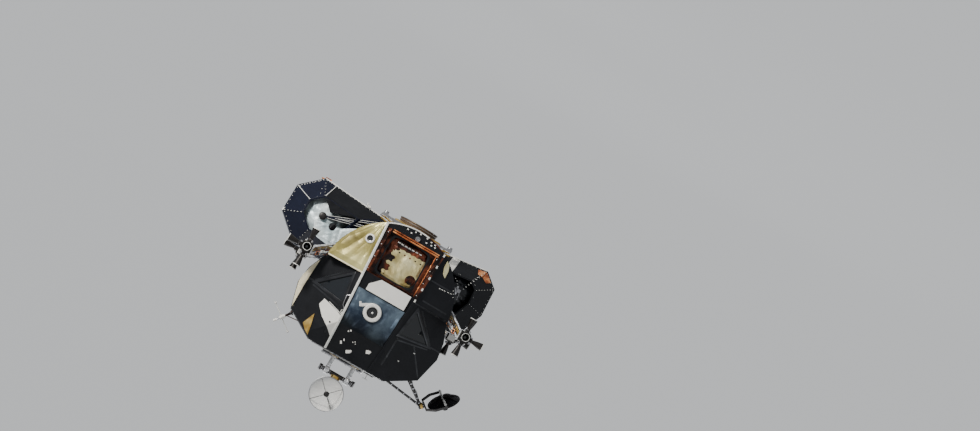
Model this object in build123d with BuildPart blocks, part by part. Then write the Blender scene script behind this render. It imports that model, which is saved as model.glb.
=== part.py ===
from build123d import *
from math import atan2, cos, degrees, radians, sin, sqrt
import os

# Ascent stage of a lunar lander, in millimetres. +Z is up, the front faces -Y and port is +X.
# The origin is the middle of the interstage plane, between the four fittings that carry the stage.
# A height whose name ends in _h is taken from the thruster plane, and one in _z from the interstage plane.

thruster_z = 1372.0          # height of the thruster plane and of the face's centre
wall = 50.0                  # cabin wall with its insulation
skin = 24.0                  # thermal shields
seat_gap = 6.0               # round each hatch and radar part that moves
pane = 12.0                  # window glass
bite = 4.0                   # how far an arm or a bar runs into what carries it
far = 4000.0                 # beyond every piece, for blocks that only cut

# cabin
cabin_r = 1280.0             # lower shell, outside
face_y = -1900.0             # front of the centre strip
aft_y = -690.0               # aft bulkhead of the cabin
crease_h = -100.0            # where the lower panels meet the window panels
strip_low = 600.0            # half width of the centre strip at its foot
strip_top = 450.0            # and at its top
strip_foot_h = -1120.0
side_table = ((1430.0, 270.0), (1480.0, 600.0), (1350.0, 1110.0), (790.0, 1440.0))   # x, h of its corners
quarter_lean = 0.35          # how far back the lower panels run, for each mm outboard
window_lean = 0.75           # the same, window panels
frame_head_h = 150.0         # where the frame round the hatch ends and the brow's panel starts
brow_h = 900.0               # where the brow starts to lean back
brow_back = 400.0            # how far the brow leans back at its top

# forward hatch
hatch_size = 810.0           # clear opening, square
hatch_corner = 110.0
hatch_lap = 25.0             # how far the hatch laps the opening
hatch_plate = 40.0
boss_set_back = 9.6          # hatch's boss, behind the frame's face
recess_depth = 160.0         # from the face back to the hatch frame
recess_jamb = 95.0           # frame beside the opening
recess_sill = 35.0           # frame under the opening
recess_lintel = 55.0         # and over it
chin = 118.3                 # from the recess's lower corners down to the round edge
recess_side = hatch_size / 2 + recess_jamb
recess_foot_h = chin - sqrt(cabin_r ** 2 - recess_side ** 2)
hatch_h = recess_foot_h + recess_sill + hatch_size / 2
recess_head_h = hatch_h + hatch_size / 2 + recess_lintel

# hinges of both hatches: knuckles on the pivot line, and arms to what carries them
hinge_out = 20.0             # pivot line to the hatch's edge
knuckle_r = 14.0
knuckle_length = 60.0        # on the hatch
lug_length = 25.0            # on the frame, at either end
lug_gap = 2.0
hinge_arm = 16.0
hinge_spread = 250.0         # forward hatch: hinges above and below its middle

# midsection and engine
mid_half = 900.0             # half width above the tanks
mid_shoulder_h = 980.0
mid_top_half = 700.0
mid_wall = 45.0
bay_half = 490.0             # half width of the engine bay between the tanks
mid_y = 690.0
deck_z = 1330.0              # foot of the upper midsection
base_z = 40.0                # underside of the engine bay
bell_exit_r = 395.0
bell_throat_r = 62.0
bell_exit_z = -90.0
bell_throat_z = 760.0
bell_wall = 12.0
bell_belly = (250.0, 357.0)  # x and z of the bell's fullest curve, inside
bell_neck = 80.0
bell_gap = 30.0              # round the bell in the heat shield
engine_r = 230.0
engine_top_z = 1180.0
mount_beam = (120.0, 60.0)   # beam that holds the engine, width and height
passage = (620.0, 120.0, 1250.0)                      # way aft: half width, heights of its foot and head
docking_window = (330.0, 680.0, -1290.0, -1110.0)     # x and y limits
window_corners = ((600.0, 560.0), (1190.0, 470.0), (680.0, 10.0))     # x, h of the port window

# docking tunnel
tunnel_r = 430.0             # outside
tunnel_bore_r = 400.0
tunnel_rise = 60.0           # above the roof
tunnel_drop = 240.0          # below the roof
lip_width = 35.0
drogue_neck_r = 70.0
drogue_depth = 215.0
drogue_t = 14.0
drogue_set_back = 12.0       # under the tunnel's rim
drogue_rim = (20.0, 18.0)    # width and height
top_hatch_t = 34.0
top_hatch_play = 8.0         # smaller than the bore

# tanks and their shields: name, side, tank x, outline x and h from the body outwards and round to the top
tank_r = 590.0
tank_h = -690.0
bay_y = 665.0                # front and back of the shields
bay_flat_y = 300.0           # where their slanted rims start
rim_share = 0.52             # how far the rims close towards the tank
fuel_x = 1690.0
oxidizer_x = -1140.0
bay_edge_x = 560.0           # where the shields end towards the body
tank_boss_r = 70.0
tank_boss = 46.0
tank_strut_r = 23.0
strut_stand_off = 24.0       # struts' middle, before the tank
strut_feet_h = (-1175.0, -1010.0)
fuel_outline = ((520, -1225), (1980, -1345), (2385, -980), (2400, -440), (1900, 10), (1000, 10))
oxidizer_outline = ((-520, -1225), (-1530, -1350), (-1815, -1110), (-1840, -560), (-1610, 0), (-1000, 10))

# aft equipment bay
rack_y = 1740.0
rack_half = 1130.0
rack_h = (-1120.0, 1000.0)
rack_chamfer = 240.0
rack_panel = 40.0
panel_inset = 62.0           # rear panel, inside the rack's outline
pocket = (400.0, 470.0, 30.0, 16.0)    # width, height, corner and depth
pocket_pitch = (480.0, 560.0)
pocket_h = -60.0
closeout_y = 1330.0          # aft end of the slanted close-outs
closeout_half = 430.0        # half their height
closeout_reach = 0.72        # how far they reach along the shields' aft rims

# thrusters
quad_xy = 1676.0
nozzle_reach = 380.0
nozzle_exit_r = 73.0
nozzle_throat_r = 22.0
nozzle_length = 235.0
nozzle_belly = (0.45, 0.72)  # share of the length, and of the mouth's radius there
nozzle_lip = 5.0
nozzle_wall = 6.0
nozzle_floor = 30.0          # from the cone's foot to the throat's floor
quad_body = 210.0
quad_chamfer = 28.0
quad_plate = 24.0
quad_plate_width = 130.0
strut_r = 19.0
strut_bite = 30.0            # outriggers' bars, into the body
fore_roots_y = (-1480.0, -1130.0)      # outriggers' outer and inner bars
aft_roots_y = (1620.0, 1420.0)
root_low_h = -330.0
root_high_h = -140.0
tip_h = 70.0

# tracking light in the brow, and the ledge between it and the hatch
light_x = 30.0
light_h = 460.0
light_r = 170.0
light_bore_r = 100.0
light_deep = 60.0
lens_deep = 12.0
ledge_t = 30.0
ledge_side = (350.0, -450.0)
ledge_head_h = 140.0
ledge_corner = 170.0         # cut off its lower port corner
ledge_gap = 10.0             # above the recess

# rendezvous radar
radar_y = -1130.0
radar_shaft_h = 1775.0
radar_post_x = 215.0
radar_post_r = 42.0
radar_bar_r = 44.0
radar_bar_half = 345.0
radar_dish_r = 318.0
radar_dish_h = 2165.0
radar_dish_depth = 92.0
radar_dish_t = 12.0
radar_feed = (235.0, 46.0)    # stem's height and feed's radius
radar_vertex = 105.0         # dish's back to the trunnion axis
radar_foot = (150.0, 170.0, 30.0)
radar_eye = (34.0, 90.0)     # wall and length of the posts' eyes
radar_drum = (62.0, 60.0)    # radius and length of the drums at the bar's ends
drum_lap = 35.0
neck_drop = 90.0             # from the dish's middle down to the neck
neck_base = (150.0, 110.0)
neck_r = 44.0
neck_t = 30.0
turret = (58.0, 150.0)       # radius and height
dish_arm = (80.0, 120.0)

# steerable antenna
arm_y = -250.0
elbow = (-1735.0, 1440.0)    # x, h
arm_dish = (-2005.0, 1165.0) # x, h of the dish's centre
arm_dish_r = 305.0
arm_dish_depth = 86.0
arm_dish_t = 10.0
arm_feed = (220.0, 40.0)
boom_r = 24.0
arm_dish_back = 40.0         # dish's back behind the pivot line
fork_half = 362.0
fork_bar = 30.0
fork_deep = 44.0
fork_shoulder = 120.0
fork_hub = (52.0, 30.0)
arm_hub = (55.0, 100.0)
arm_tilt = 22.5
stub_r = 20.0
arm_roots = ((-840.0, 1380.0, -620.0), (-1235.0, 1140.0, -560.0), (-1235.0, 1140.0, 40.0))   # x, h, y

# crossed whip antenna on the port shoulder
whip_y = -900.0
whip_root = (1262.0, 1140.0)
whip_tip = (1510.0, 1460.0)
whip_rod = 290.0
whip_ball_r = 17.0
whip_mast_r = 16.0
whip_rod_r = 6.0
whip_cross = 0.62            # share of the mast below the rods

# fittings that carry the stage
fitting_spacing = 1372.0
fitting_inset = 60.0         # from the midsection's front and back
fitting_pad = (110.0, 60.0)
fitting_leg = (60.0, 40.0, 20.0)       # width, height and lift
fitting_foot_r = 46.0
fitting_bolt_r = 12.0

roof_h = side_table[-1][1]
below_all_h = strip_foot_h - 380.0
above_all_h = roof_h + 260.0

os.makedirs("parts", exist_ok=True)


def up(h):
    """Height above the interstage plane of a height taken from the thruster plane."""
    return thruster_z + h


def across(y):
    """Upright plane at y, drawn with x to port and z up; what is extruded from it runs forward."""
    return Plane.XZ.offset(-y)


made = {}


def keep(piece, label):
    piece.part.label = label
    export_step(piece.part, f"parts/{label}.step")
    made[label] = piece.part


def seat_on(*labels):
    """Trim what is being built to the faces of pieces made before it."""
    for label in labels:
        add(made[label], mode=Mode.SUBTRACT)


def strip_edge(h):
    share = (h - strip_foot_h) / (roof_h - strip_foot_h)
    return strip_low + (strip_top - strip_low) * share


def slab(points, y_front, y_back):
    """Flat outline in x and h, carried from y_front back to y_back."""
    with BuildPart() as body:
        with BuildSketch(across(y_back)):
            with BuildLine():
                Polyline([(x, up(h)) for x, h in points], close=True)
            make_face()
        extrude(amount=y_back - y_front)
    return body.part


def layer(low, high, y_front, y_back):
    """Block as wide as can be between two heights, to keep a storey of what is built."""
    return slab(((-far, low), (far, low), (far, high), (-far, high)), y_front, y_back)


def tube_between(start, end, radius):
    """Round bar between two points given as x, y, h."""
    a = Vector(start[0], start[1], up(start[2]))
    b = Vector(end[0], end[1], up(end[2]))
    with BuildPart() as bar:
        with BuildSketch(Plane(origin=a, z_dir=b - a)):
            Circle(radius)
        extrude(amount=(b - a).length)
    return bar.part


def hinge_leaf(pivot, along, toward, reach, fixed):
    """Knuckles on a pivot line with arms to their carrier: two that are fixed, or the one between them."""
    if fixed:
        spots = (-(knuckle_length + lug_length) / 2 - lug_gap, (knuckle_length + lug_length) / 2 + lug_gap)
        length = lug_length
    else:
        spots = (0,)
        length = knuckle_length
    with BuildPart() as leaf:
        for spot in spots:
            with BuildSketch(Plane(origin=pivot + along * spot, x_dir=toward, z_dir=along)):
                Circle(knuckle_r)
                with Locations((reach / 2, 0)):
                    Rectangle(reach, hinge_arm)
            extrude(amount=length / 2, both=True)
    return leaf.part


def cabin_prism(inset, y_front, y_back):
    """Cabin outline, round below the crease and faceted above, drawn in by inset."""
    low_angle = degrees(atan2(crease_h, sqrt(cabin_r ** 2 - crease_h ** 2)))
    low_x = cabin_r * cos(radians(low_angle))
    port = [(x, up(h)) for x, h in side_table]
    starboard = [(-x, z) for x, z in reversed(port)]
    with BuildPart() as body:
        with BuildSketch(across(y_back)):
            with BuildLine():
                CenterArc((0, thruster_z), cabin_r, 180 - low_angle, 180 + 2 * low_angle)
                Polyline([(low_x, up(crease_h))] + port + starboard + [(-low_x, up(crease_h))])
            make_face()
            if inset:
                offset(amount=-inset, kind=Kind.INTERSECTION)
        extrude(amount=y_back - y_front)
    return body.part


def lean_plane(side, lean, inset):
    """Plane through the strip's edge that runs back outboard; its normal points forward."""
    foot = Vector(side * strip_edge(strip_foot_h), face_y, up(strip_foot_h))
    head = Vector(side * strip_edge(brow_h), face_y, up(brow_h))
    along = (head - foot).normalized()
    out = Vector(side, lean, 0).normalized()
    normal = out.cross(along) if side > 0 else along.cross(out)
    return Plane(origin=foot - normal * inset, z_dir=normal)


def brow_plane(inset):
    rise = roof_h - brow_h
    normal = Vector(0, -rise, brow_back).normalized()
    return Plane(origin=Vector(0, face_y, up(brow_h)) - normal * inset, z_dir=normal)


def cabin_mass(inset, front_inset):
    """Whole cabin as one solid: the outline cut by the front's planes, in two storeys."""
    front = face_y + front_inset
    storeys = []
    for low, high, lean in ((-far, crease_h, quarter_lean), (crease_h, far, window_lean)):
        with BuildPart() as storey:
            add(cabin_prism(inset, front, aft_y))
            add(layer(low, high, face_y - skin, aft_y + skin), mode=Mode.INTERSECT)
            for side in (1, -1):
                split(bisect_by=lean_plane(side, lean, front_inset), keep=Keep.BOTTOM)
            split(bisect_by=brow_plane(front_inset), keep=Keep.BOTTOM)
        storeys.append(storey.part)
    return storeys


lower_mass, upper_mass = cabin_mass(0, 0)
lower_core, upper_core = cabin_mass(0, wall)
with BuildPart() as cavity_builder:
    add(cabin_prism(wall, face_y, aft_y + skin))
cavity = cavity_builder.part


def strip_prism(y_back):
    """Block behind the centre strip, from below the chin to above the top."""
    feet = strip_edge(below_all_h)
    head = strip_edge(above_all_h)
    return slab(((-feet, below_all_h), (feet, below_all_h), (head, above_all_h), (-head, above_all_h)),
                face_y - skin, y_back)


def side_block(side, low, high):
    """Everything outboard of the strip on one side, between two heights."""
    a = side * strip_edge(low)
    b = side * strip_edge(high)
    return slab(((a, low), (side * far, low), (side * far, high), (b, high)), face_y - skin, aft_y + skin)


# centre strip with the hatch recess
recess_mid_h = (recess_foot_h + recess_head_h) / 2
recess_tall = recess_head_h - recess_foot_h
with BuildPart() as front_frame:
    add(lower_mass)
    add(upper_mass)
    add(strip_prism(aft_y), mode=Mode.INTERSECT)
    add(layer(below_all_h, frame_head_h, face_y - skin, face_y + wall), mode=Mode.INTERSECT)
    with BuildSketch(across(face_y + wall + skin)):
        with Locations((0, up(recess_mid_h))):
            Rectangle(2 * recess_side, recess_tall)
    extrude(amount=wall + 2 * skin, mode=Mode.SUBTRACT)
keep(front_frame, "front_frame")

# brow above the hatch, upright and then leaning back
with BuildPart() as brow_panel:
    add(upper_mass)
    add(upper_core, mode=Mode.SUBTRACT)
    add(strip_prism(aft_y), mode=Mode.INTERSECT)
    add(layer(frame_head_h, above_all_h, face_y - skin, aft_y), mode=Mode.INTERSECT)
keep(brow_panel, "brow_panel")

# box behind the strip that ends in the hatch's frame
frame_y = face_y + recess_depth
hatch_front_y = frame_y + skin + seat_gap
hatch_half = hatch_size / 2 + hatch_lap
hatch_pivot = Vector(-(hatch_half + hinge_out), hatch_front_y + hatch_plate / 2, up(hatch_h))
with BuildPart() as hatch_recess:
    with BuildSketch(across(frame_y)):
        with Locations((0, up(recess_mid_h))):
            Rectangle(2 * recess_side, recess_tall)
            Rectangle(2 * recess_side - 2 * skin, recess_tall - 2 * skin, mode=Mode.SUBTRACT)
    extrude(amount=recess_depth - wall)
    with BuildSketch(across(frame_y + skin)):
        with Locations((0, up(recess_mid_h))):
            Rectangle(2 * recess_side, recess_tall)
        with Locations((0, up(hatch_h))):
            RectangleRounded(hatch_size, hatch_size, hatch_corner, mode=Mode.SUBTRACT)
    extrude(amount=skin)
    for level in (-hinge_spread, hinge_spread):
        add(hinge_leaf(hatch_pivot + Vector(0, 0, level), Vector(0, 0, 1), Vector(0, -1, 0),
                       hatch_pivot.Y - frame_y - skin + bite, fixed=True))
keep(hatch_recess, "hatch_recess")

# lower quarter panels and window panels
for side, side_name in ((1, "port"), (-1, "starboard")):
    with BuildPart() as quarter:
        add(lower_mass)
        add(lower_core, mode=Mode.SUBTRACT)
        add(side_block(side, below_all_h, crease_h), mode=Mode.INTERSECT)
        add(upper_core, mode=Mode.SUBTRACT)
    keep(quarter, f"quarter_panel_{side_name}")

    opening = slab([(side * x, h) for x, h in window_corners], face_y - skin, aft_y)
    with BuildPart() as window_panel:
        add(upper_mass)
        add(upper_core, mode=Mode.SUBTRACT)
        add(side_block(side, crease_h, above_all_h), mode=Mode.INTERSECT)
        add(opening, mode=Mode.SUBTRACT)
    keep(window_panel, f"window_panel_{side_name}")

    with BuildPart() as glass:
        add(opening)
        split(bisect_by=lean_plane(side, window_lean, wall / 2 - pane / 2), keep=Keep.BOTTOM)
        split(bisect_by=lean_plane(side, window_lean, wall / 2 + pane / 2), keep=Keep.TOP)
    keep(glass, f"window_glass_{side_name}")

# shelf that closes the step between the quarter panels and the window panels
with BuildPart() as behind_windows:
    add(cabin_prism(0, face_y, aft_y))
    for side in (1, -1):
        split(bisect_by=lean_plane(side, window_lean, wall), keep=Keep.BOTTOM)
with BuildPart() as window_shelf:
    add(lower_core)
    add(layer(crease_h - wall, crease_h, face_y, aft_y), mode=Mode.INTERSECT)
    add(behind_windows.part, mode=Mode.SUBTRACT)
keep(window_shelf, "window_shelf")

# shell behind the front: floor, two sides and the roof with the docking window's opening
shoulder_x, shoulder_h = side_table[2]
with BuildPart() as cabin_floor_shell:
    add(lower_core)
    add(cavity, mode=Mode.SUBTRACT)
    add(window_shelf.part, mode=Mode.SUBTRACT)
keep(cabin_floor_shell, "cabin_floor_shell")
for side, side_name in ((1, "port"), (-1, "starboard")):
    with BuildPart() as cabin_side:
        add(upper_core)
        add(cavity, mode=Mode.SUBTRACT)
        add(slab(((0, crease_h), (side * far, crease_h), (side * far, shoulder_h), (0, shoulder_h)),
                 face_y, aft_y), mode=Mode.INTERSECT)
    keep(cabin_side, f"cabin_side_{side_name}")
with BuildPart() as cabin_roof:
    add(upper_core)
    add(cavity, mode=Mode.SUBTRACT)
    add(layer(shoulder_h, above_all_h, face_y, aft_y), mode=Mode.INTERSECT)
    left, right, near, far = docking_window
    with BuildSketch(Plane.XY.offset(up(roof_h) - 2 * wall)):
        with Locations(((left + right) / 2, (near + far) / 2)):
            Rectangle(right - left, far - near)
    extrude(amount=3 * wall, mode=Mode.SUBTRACT)
keep(cabin_roof, "cabin_roof")
with BuildPart() as docking_glass:
    with BuildSketch(Plane.XY.offset(up(roof_h) - wall / 2 - pane / 2)):
        with Locations(((left + right) / 2, (near + far) / 2)):
            Rectangle(right - left, far - near)
    extrude(amount=pane)
keep(docking_glass, "docking_glass")

# aft bulkhead of the cabin with the passage to the midsection
with BuildPart() as cabin_bulkhead:
    add(cabin_prism(wall, aft_y - wall, aft_y))
    add(slab(((-passage[0], passage[1]), (passage[0], passage[1]), (passage[0], passage[2]),
              (-passage[0], passage[2])), aft_y - wall - skin, aft_y + skin), mode=Mode.SUBTRACT)
keep(cabin_bulkhead, "cabin_bulkhead")

# forward hatch: a plate that seats behind the frame, with a boss that fills the opening
boss_size = hatch_size - 3 * seat_gap
with BuildPart() as forward_hatch:
    with BuildSketch(across(hatch_front_y + hatch_plate)):
        with Locations((0, up(hatch_h))):
            RectangleRounded(2 * hatch_half, 2 * hatch_half, hatch_corner + hatch_lap)
    extrude(amount=hatch_plate)
    with BuildSketch(across(hatch_front_y)):
        with Locations((0, up(hatch_h))):
            RectangleRounded(boss_size, boss_size, hatch_corner - (hatch_size - boss_size) / 2)
    extrude(amount=hatch_front_y - frame_y - boss_set_back)
    for level in (-hinge_spread, hinge_spread):
        add(hinge_leaf(hatch_pivot + Vector(0, 0, level), Vector(0, 0, 1), Vector(1, 0, 0),
                       hinge_out + bite, fixed=False))
keep(forward_hatch, "forward_hatch")

# upper midsection: walls, deck and roof with the tunnel's hole
deck_h = deck_z - thruster_z
mid_outline = ((mid_half, deck_h), (mid_half, mid_shoulder_h), (mid_top_half, roof_h),
               (-mid_top_half, roof_h), (-mid_half, mid_shoulder_h), (-mid_half, deck_h))
with BuildPart() as midsection:
    add(slab(mid_outline, aft_y, mid_y))
    with BuildSketch(across(mid_y - mid_wall)):
        with BuildLine():
            Polyline([(x, up(h)) for x, h in mid_outline], close=True)
        make_face()
        offset(amount=-mid_wall, kind=Kind.INTERSECTION)
    extrude(amount=mid_y - mid_wall - aft_y + skin, mode=Mode.SUBTRACT)
    with BuildSketch(Plane.XY.offset(up(roof_h) - 2 * mid_wall)):
        Circle(tunnel_r)
    extrude(amount=3 * mid_wall, mode=Mode.SUBTRACT)
keep(midsection, "midsection")

# engine bay between the tanks, open below round the bell
with BuildPart() as engine_bay:
    with BuildSketch(Plane.XY.offset(base_z + skin)):
        Rectangle(2 * bay_half, 2 * mid_y)
        Rectangle(2 * bay_half - 2 * skin, 2 * mid_y - 2 * skin, mode=Mode.SUBTRACT)
    extrude(amount=deck_z - base_z - skin)
keep(engine_bay, "engine_bay")

# flat heat shield under the stage with the bell's hole
with BuildPart() as base_heat_shield:
    with BuildSketch(Plane.XY.offset(base_z)):
        Rectangle(2 * bay_half, 2 * mid_y)
        Circle(bell_exit_r + bell_gap, mode=Mode.SUBTRACT)
    extrude(amount=skin)
keep(base_heat_shield, "base_heat_shield")

# four pads on which the stage stands, each on a short leg under the engine bay's corner beam
fitting_rows = 2 * (mid_y - fitting_inset)
leg_width, leg_tall, leg_lift = fitting_leg
leg_reach = fitting_spacing / 2 - bay_half
with BuildPart() as interstage_fittings:
    with BuildSketch(Plane.XY.offset(base_z)):
        with GridLocations(fitting_spacing, fitting_rows, 2, 2):
            Rectangle(fitting_pad[0], fitting_pad[0])
    extrude(amount=fitting_pad[1])
    with BuildSketch(Plane.XY.offset(base_z + leg_lift)):
        with GridLocations(2 * bay_half + leg_reach, fitting_rows, 2, 2):
            Rectangle(leg_reach, leg_width)
    extrude(amount=leg_tall)
    with BuildSketch():
        with GridLocations(fitting_spacing, fitting_rows, 2, 2):
            Circle(fitting_foot_r)
    extrude(amount=base_z)
    with BuildSketch():
        with GridLocations(fitting_spacing, fitting_rows, 2, 2):
            Circle(fitting_bolt_r)
    extrude(amount=base_z + fitting_pad[1], mode=Mode.SUBTRACT)
keep(interstage_fittings, "interstage_fittings")

# ascent engine: a plain block above the bell
with BuildPart() as engine:
    with BuildSketch(Plane.XY.offset(bell_throat_z)):
        Circle(engine_r)
    extrude(amount=engine_top_z - bell_throat_z)
    with BuildSketch(Plane.XY.offset(engine_top_z)):
        Rectangle(2 * bay_half - 2 * skin, mount_beam[0])
    extrude(amount=mount_beam[1])
keep(engine, "engine")

with BuildPart() as engine_bell:
    with BuildSketch(Plane.XZ):
        with BuildLine():
            throat = (bell_throat_r, bell_throat_z - bell_neck)
            mouth = (bell_exit_r - bell_wall, bell_exit_z)
            belly_x, belly_z = bell_belly
            outside = bell_throat_r + bell_wall
            ThreePointArc(throat, (belly_x, belly_z), mouth)
            Line(mouth, (bell_exit_r, bell_exit_z))
            ThreePointArc((bell_exit_r, bell_exit_z), (belly_x + bell_wall, belly_z),
                          (outside, bell_throat_z - bell_neck))
            Polyline((outside, bell_throat_z - bell_neck), (outside, bell_throat_z), (0, bell_throat_z),
                     (0, bell_throat_z - bell_neck), throat)
        make_face()
    revolve(axis=Axis.Z)
keep(engine_bell, "engine_bell")

# docking tunnel with a lip that the top hatch seats under, and the drogue in its mouth
tunnel_foot_z = up(roof_h) - tunnel_drop
tunnel_top_z = up(roof_h) + tunnel_rise
top_hatch_r = tunnel_bore_r - top_hatch_play
top_hatch_z = tunnel_foot_z - seat_gap - top_hatch_t
top_pivot = Vector(0, -(top_hatch_r + hinge_out), top_hatch_z + top_hatch_t / 2)
with BuildPart() as docking_tunnel:
    with BuildSketch(Plane.XY.offset(tunnel_foot_z)):
        Circle(tunnel_r)
        Circle(tunnel_bore_r, mode=Mode.SUBTRACT)
    extrude(amount=tunnel_rise + tunnel_drop)
    with BuildSketch(Plane.XY.offset(tunnel_foot_z)):
        Circle(tunnel_r)
        Circle(tunnel_bore_r - lip_width, mode=Mode.SUBTRACT)
    extrude(amount=skin)
    add(hinge_leaf(top_pivot, Vector(1, 0, 0), Vector(0, 0, 1),
                   tunnel_foot_z - top_pivot.Z + bite, fixed=True))
keep(docking_tunnel, "docking_tunnel")
rim_width, rim_tall = drogue_rim
with BuildPart() as drogue:
    with BuildSketch(Plane.XZ):
        with BuildLine():
            rim_z = tunnel_top_z - drogue_set_back
            foot_z = tunnel_top_z - drogue_depth
            Polyline((tunnel_bore_r, rim_z), (tunnel_bore_r, rim_z - rim_tall),
                     (tunnel_bore_r - rim_width, rim_z - rim_tall), (drogue_neck_r, foot_z - drogue_t),
                     (drogue_neck_r, foot_z), (tunnel_bore_r - rim_width - pane / 3, rim_z), close=True)
        make_face()
    revolve(axis=Axis.Z)
keep(drogue, "drogue")
with BuildPart() as overhead_hatch:
    with BuildSketch(Plane.XY.offset(top_hatch_z)):
        Circle(top_hatch_r)
    extrude(amount=top_hatch_t)
    add(hinge_leaf(top_pivot, Vector(1, 0, 0), Vector(0, 1, 0), hinge_out + bite, fixed=False))
keep(overhead_hatch, "overhead_hatch")


def bay_shield(outline, tank_x, inset):
    """Faceted box round a tank: straight in the middle, its rims closing towards the tank."""
    with BuildPart() as body:
        with BuildSketch(across(bay_flat_y)):
            with BuildLine():
                Polyline([(x, up(h)) for x, h in outline], close=True)
            make_face()
            if inset:
                offset(amount=-inset, kind=Kind.INTERSECTION)
        extrude(amount=2 * bay_flat_y)
        for end in (-1, 1):
            faces = []
            for y, share in ((end * bay_flat_y, 1.0), (end * bay_y, rim_share)):
                with BuildSketch(across(y)) as section:
                    with BuildLine():
                        Polyline([(tank_x + (x - tank_x) * share, up(tank_h + (h - tank_h) * share))
                                  for x, h in outline], close=True)
                    make_face()
                    if inset:
                        offset(amount=-inset, kind=Kind.INTERSECTION)
                faces.append(section.sketch)
            loft(sections=faces, ruled=True)
    return body.part


# each tank has a boss in front, with two struts to the engine bay that pass through its shield
for name, outline, tank_x in (("fuel", fuel_outline, fuel_x), ("oxidizer", oxidizer_outline, oxidizer_x)):
    side = 1 if tank_x > 0 else -1
    with BuildPart() as tank:
        with Locations((tank_x, 0, up(tank_h))):
            Sphere(tank_r)
    keep(tank, f"{name}_tank")
    strut_y = -tank_r - strut_stand_off
    with BuildPart() as struts:
        with BuildSketch(Plane(origin=(tank_x, -tank_r + bite, up(tank_h)), z_dir=(0, -1, 0))):
            Circle(tank_boss_r)
        extrude(amount=tank_boss)
        for foot_h in strut_feet_h:
            add(tube_between((tank_x, strut_y, tank_h), (side * (bay_half - bite), strut_y, foot_h),
                             tank_strut_r))
        seat_on(f"{name}_tank", "engine_bay")
    keep(struts, f"{name}_tank_struts")
    mouth_share = rim_share - 0.03
    mouth = [(tank_x + (x - tank_x) * mouth_share, tank_h + (h - tank_h) * mouth_share) for x, h in outline]
    body_side = ((0, below_all_h), (side * bay_edge_x, below_all_h), (side * bay_edge_x, frame_head_h),
                 (0, frame_head_h))
    with BuildPart() as shield:
        add(bay_shield(outline, tank_x, 0))
        add(bay_shield(outline, tank_x, skin), mode=Mode.SUBTRACT)
        seat_on(f"{name}_tank", f"{name}_tank_struts")
        # open towards the body, and in front where the tank shows
        add(slab(body_side, -far, far), mode=Mode.SUBTRACT)
        add(slab(mouth, -far, 0), mode=Mode.SUBTRACT)
    keep(shield, f"{name}_bay_shield")

# aft equipment bay, solid, with a separate rear panel and slanted close-outs to the tank bays
rack_low, rack_high = rack_h
rack_corners = ((rack_half - rack_chamfer, rack_low), (rack_half, rack_low + rack_chamfer),
                (rack_half, rack_high - rack_chamfer),
                (rack_half - 2 * rack_chamfer, rack_high + rack_chamfer))
rack_outline = rack_corners + tuple((-x, h) for x, h in reversed(rack_corners))
with BuildPart() as aft_equipment_bay:
    add(slab(rack_outline, mid_y, rack_y - rack_panel))
keep(aft_equipment_bay, "aft_equipment_bay")
pocket_width, pocket_tall, pocket_corner, pocket_depth = pocket
with BuildPart() as aft_panel:
    with BuildSketch(across(rack_y)):
        with BuildLine():
            Polyline([(x, up(h)) for x, h in rack_outline], close=True)
        make_face()
        offset(amount=-panel_inset, kind=Kind.INTERSECTION)
    extrude(amount=rack_panel)
    with BuildSketch(across(rack_y)):
        with Locations((0, up(pocket_h))):
            with GridLocations(*pocket_pitch, 4, 3):
                RectangleRounded(pocket_width, pocket_tall, pocket_corner)
    extrude(amount=pocket_depth, mode=Mode.SUBTRACT)
keep(aft_panel, "aft_panel")
for side, side_name, outline, tank_x in ((1, "port", fuel_outline, fuel_x),
                                         (-1, "starboard", oxidizer_outline, oxidizer_x)):
    outer_x = tank_x + (outline[3][0] - tank_x) * closeout_reach
    with BuildPart() as closeout:
        with BuildSketch(Plane.XY.offset(up(tank_h) - closeout_half)):
            with BuildLine():
                Polyline([(outer_x, bay_y), (outer_x, bay_y + skin), (side * rack_half, closeout_y),
                          (side * rack_half, closeout_y - 2 * skin), (outer_x - side * 2 * skin, bay_y)],
                         close=True)
            make_face()
        extrude(amount=2 * closeout_half)
    keep(closeout, f"aft_closeout_{side_name}")

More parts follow.
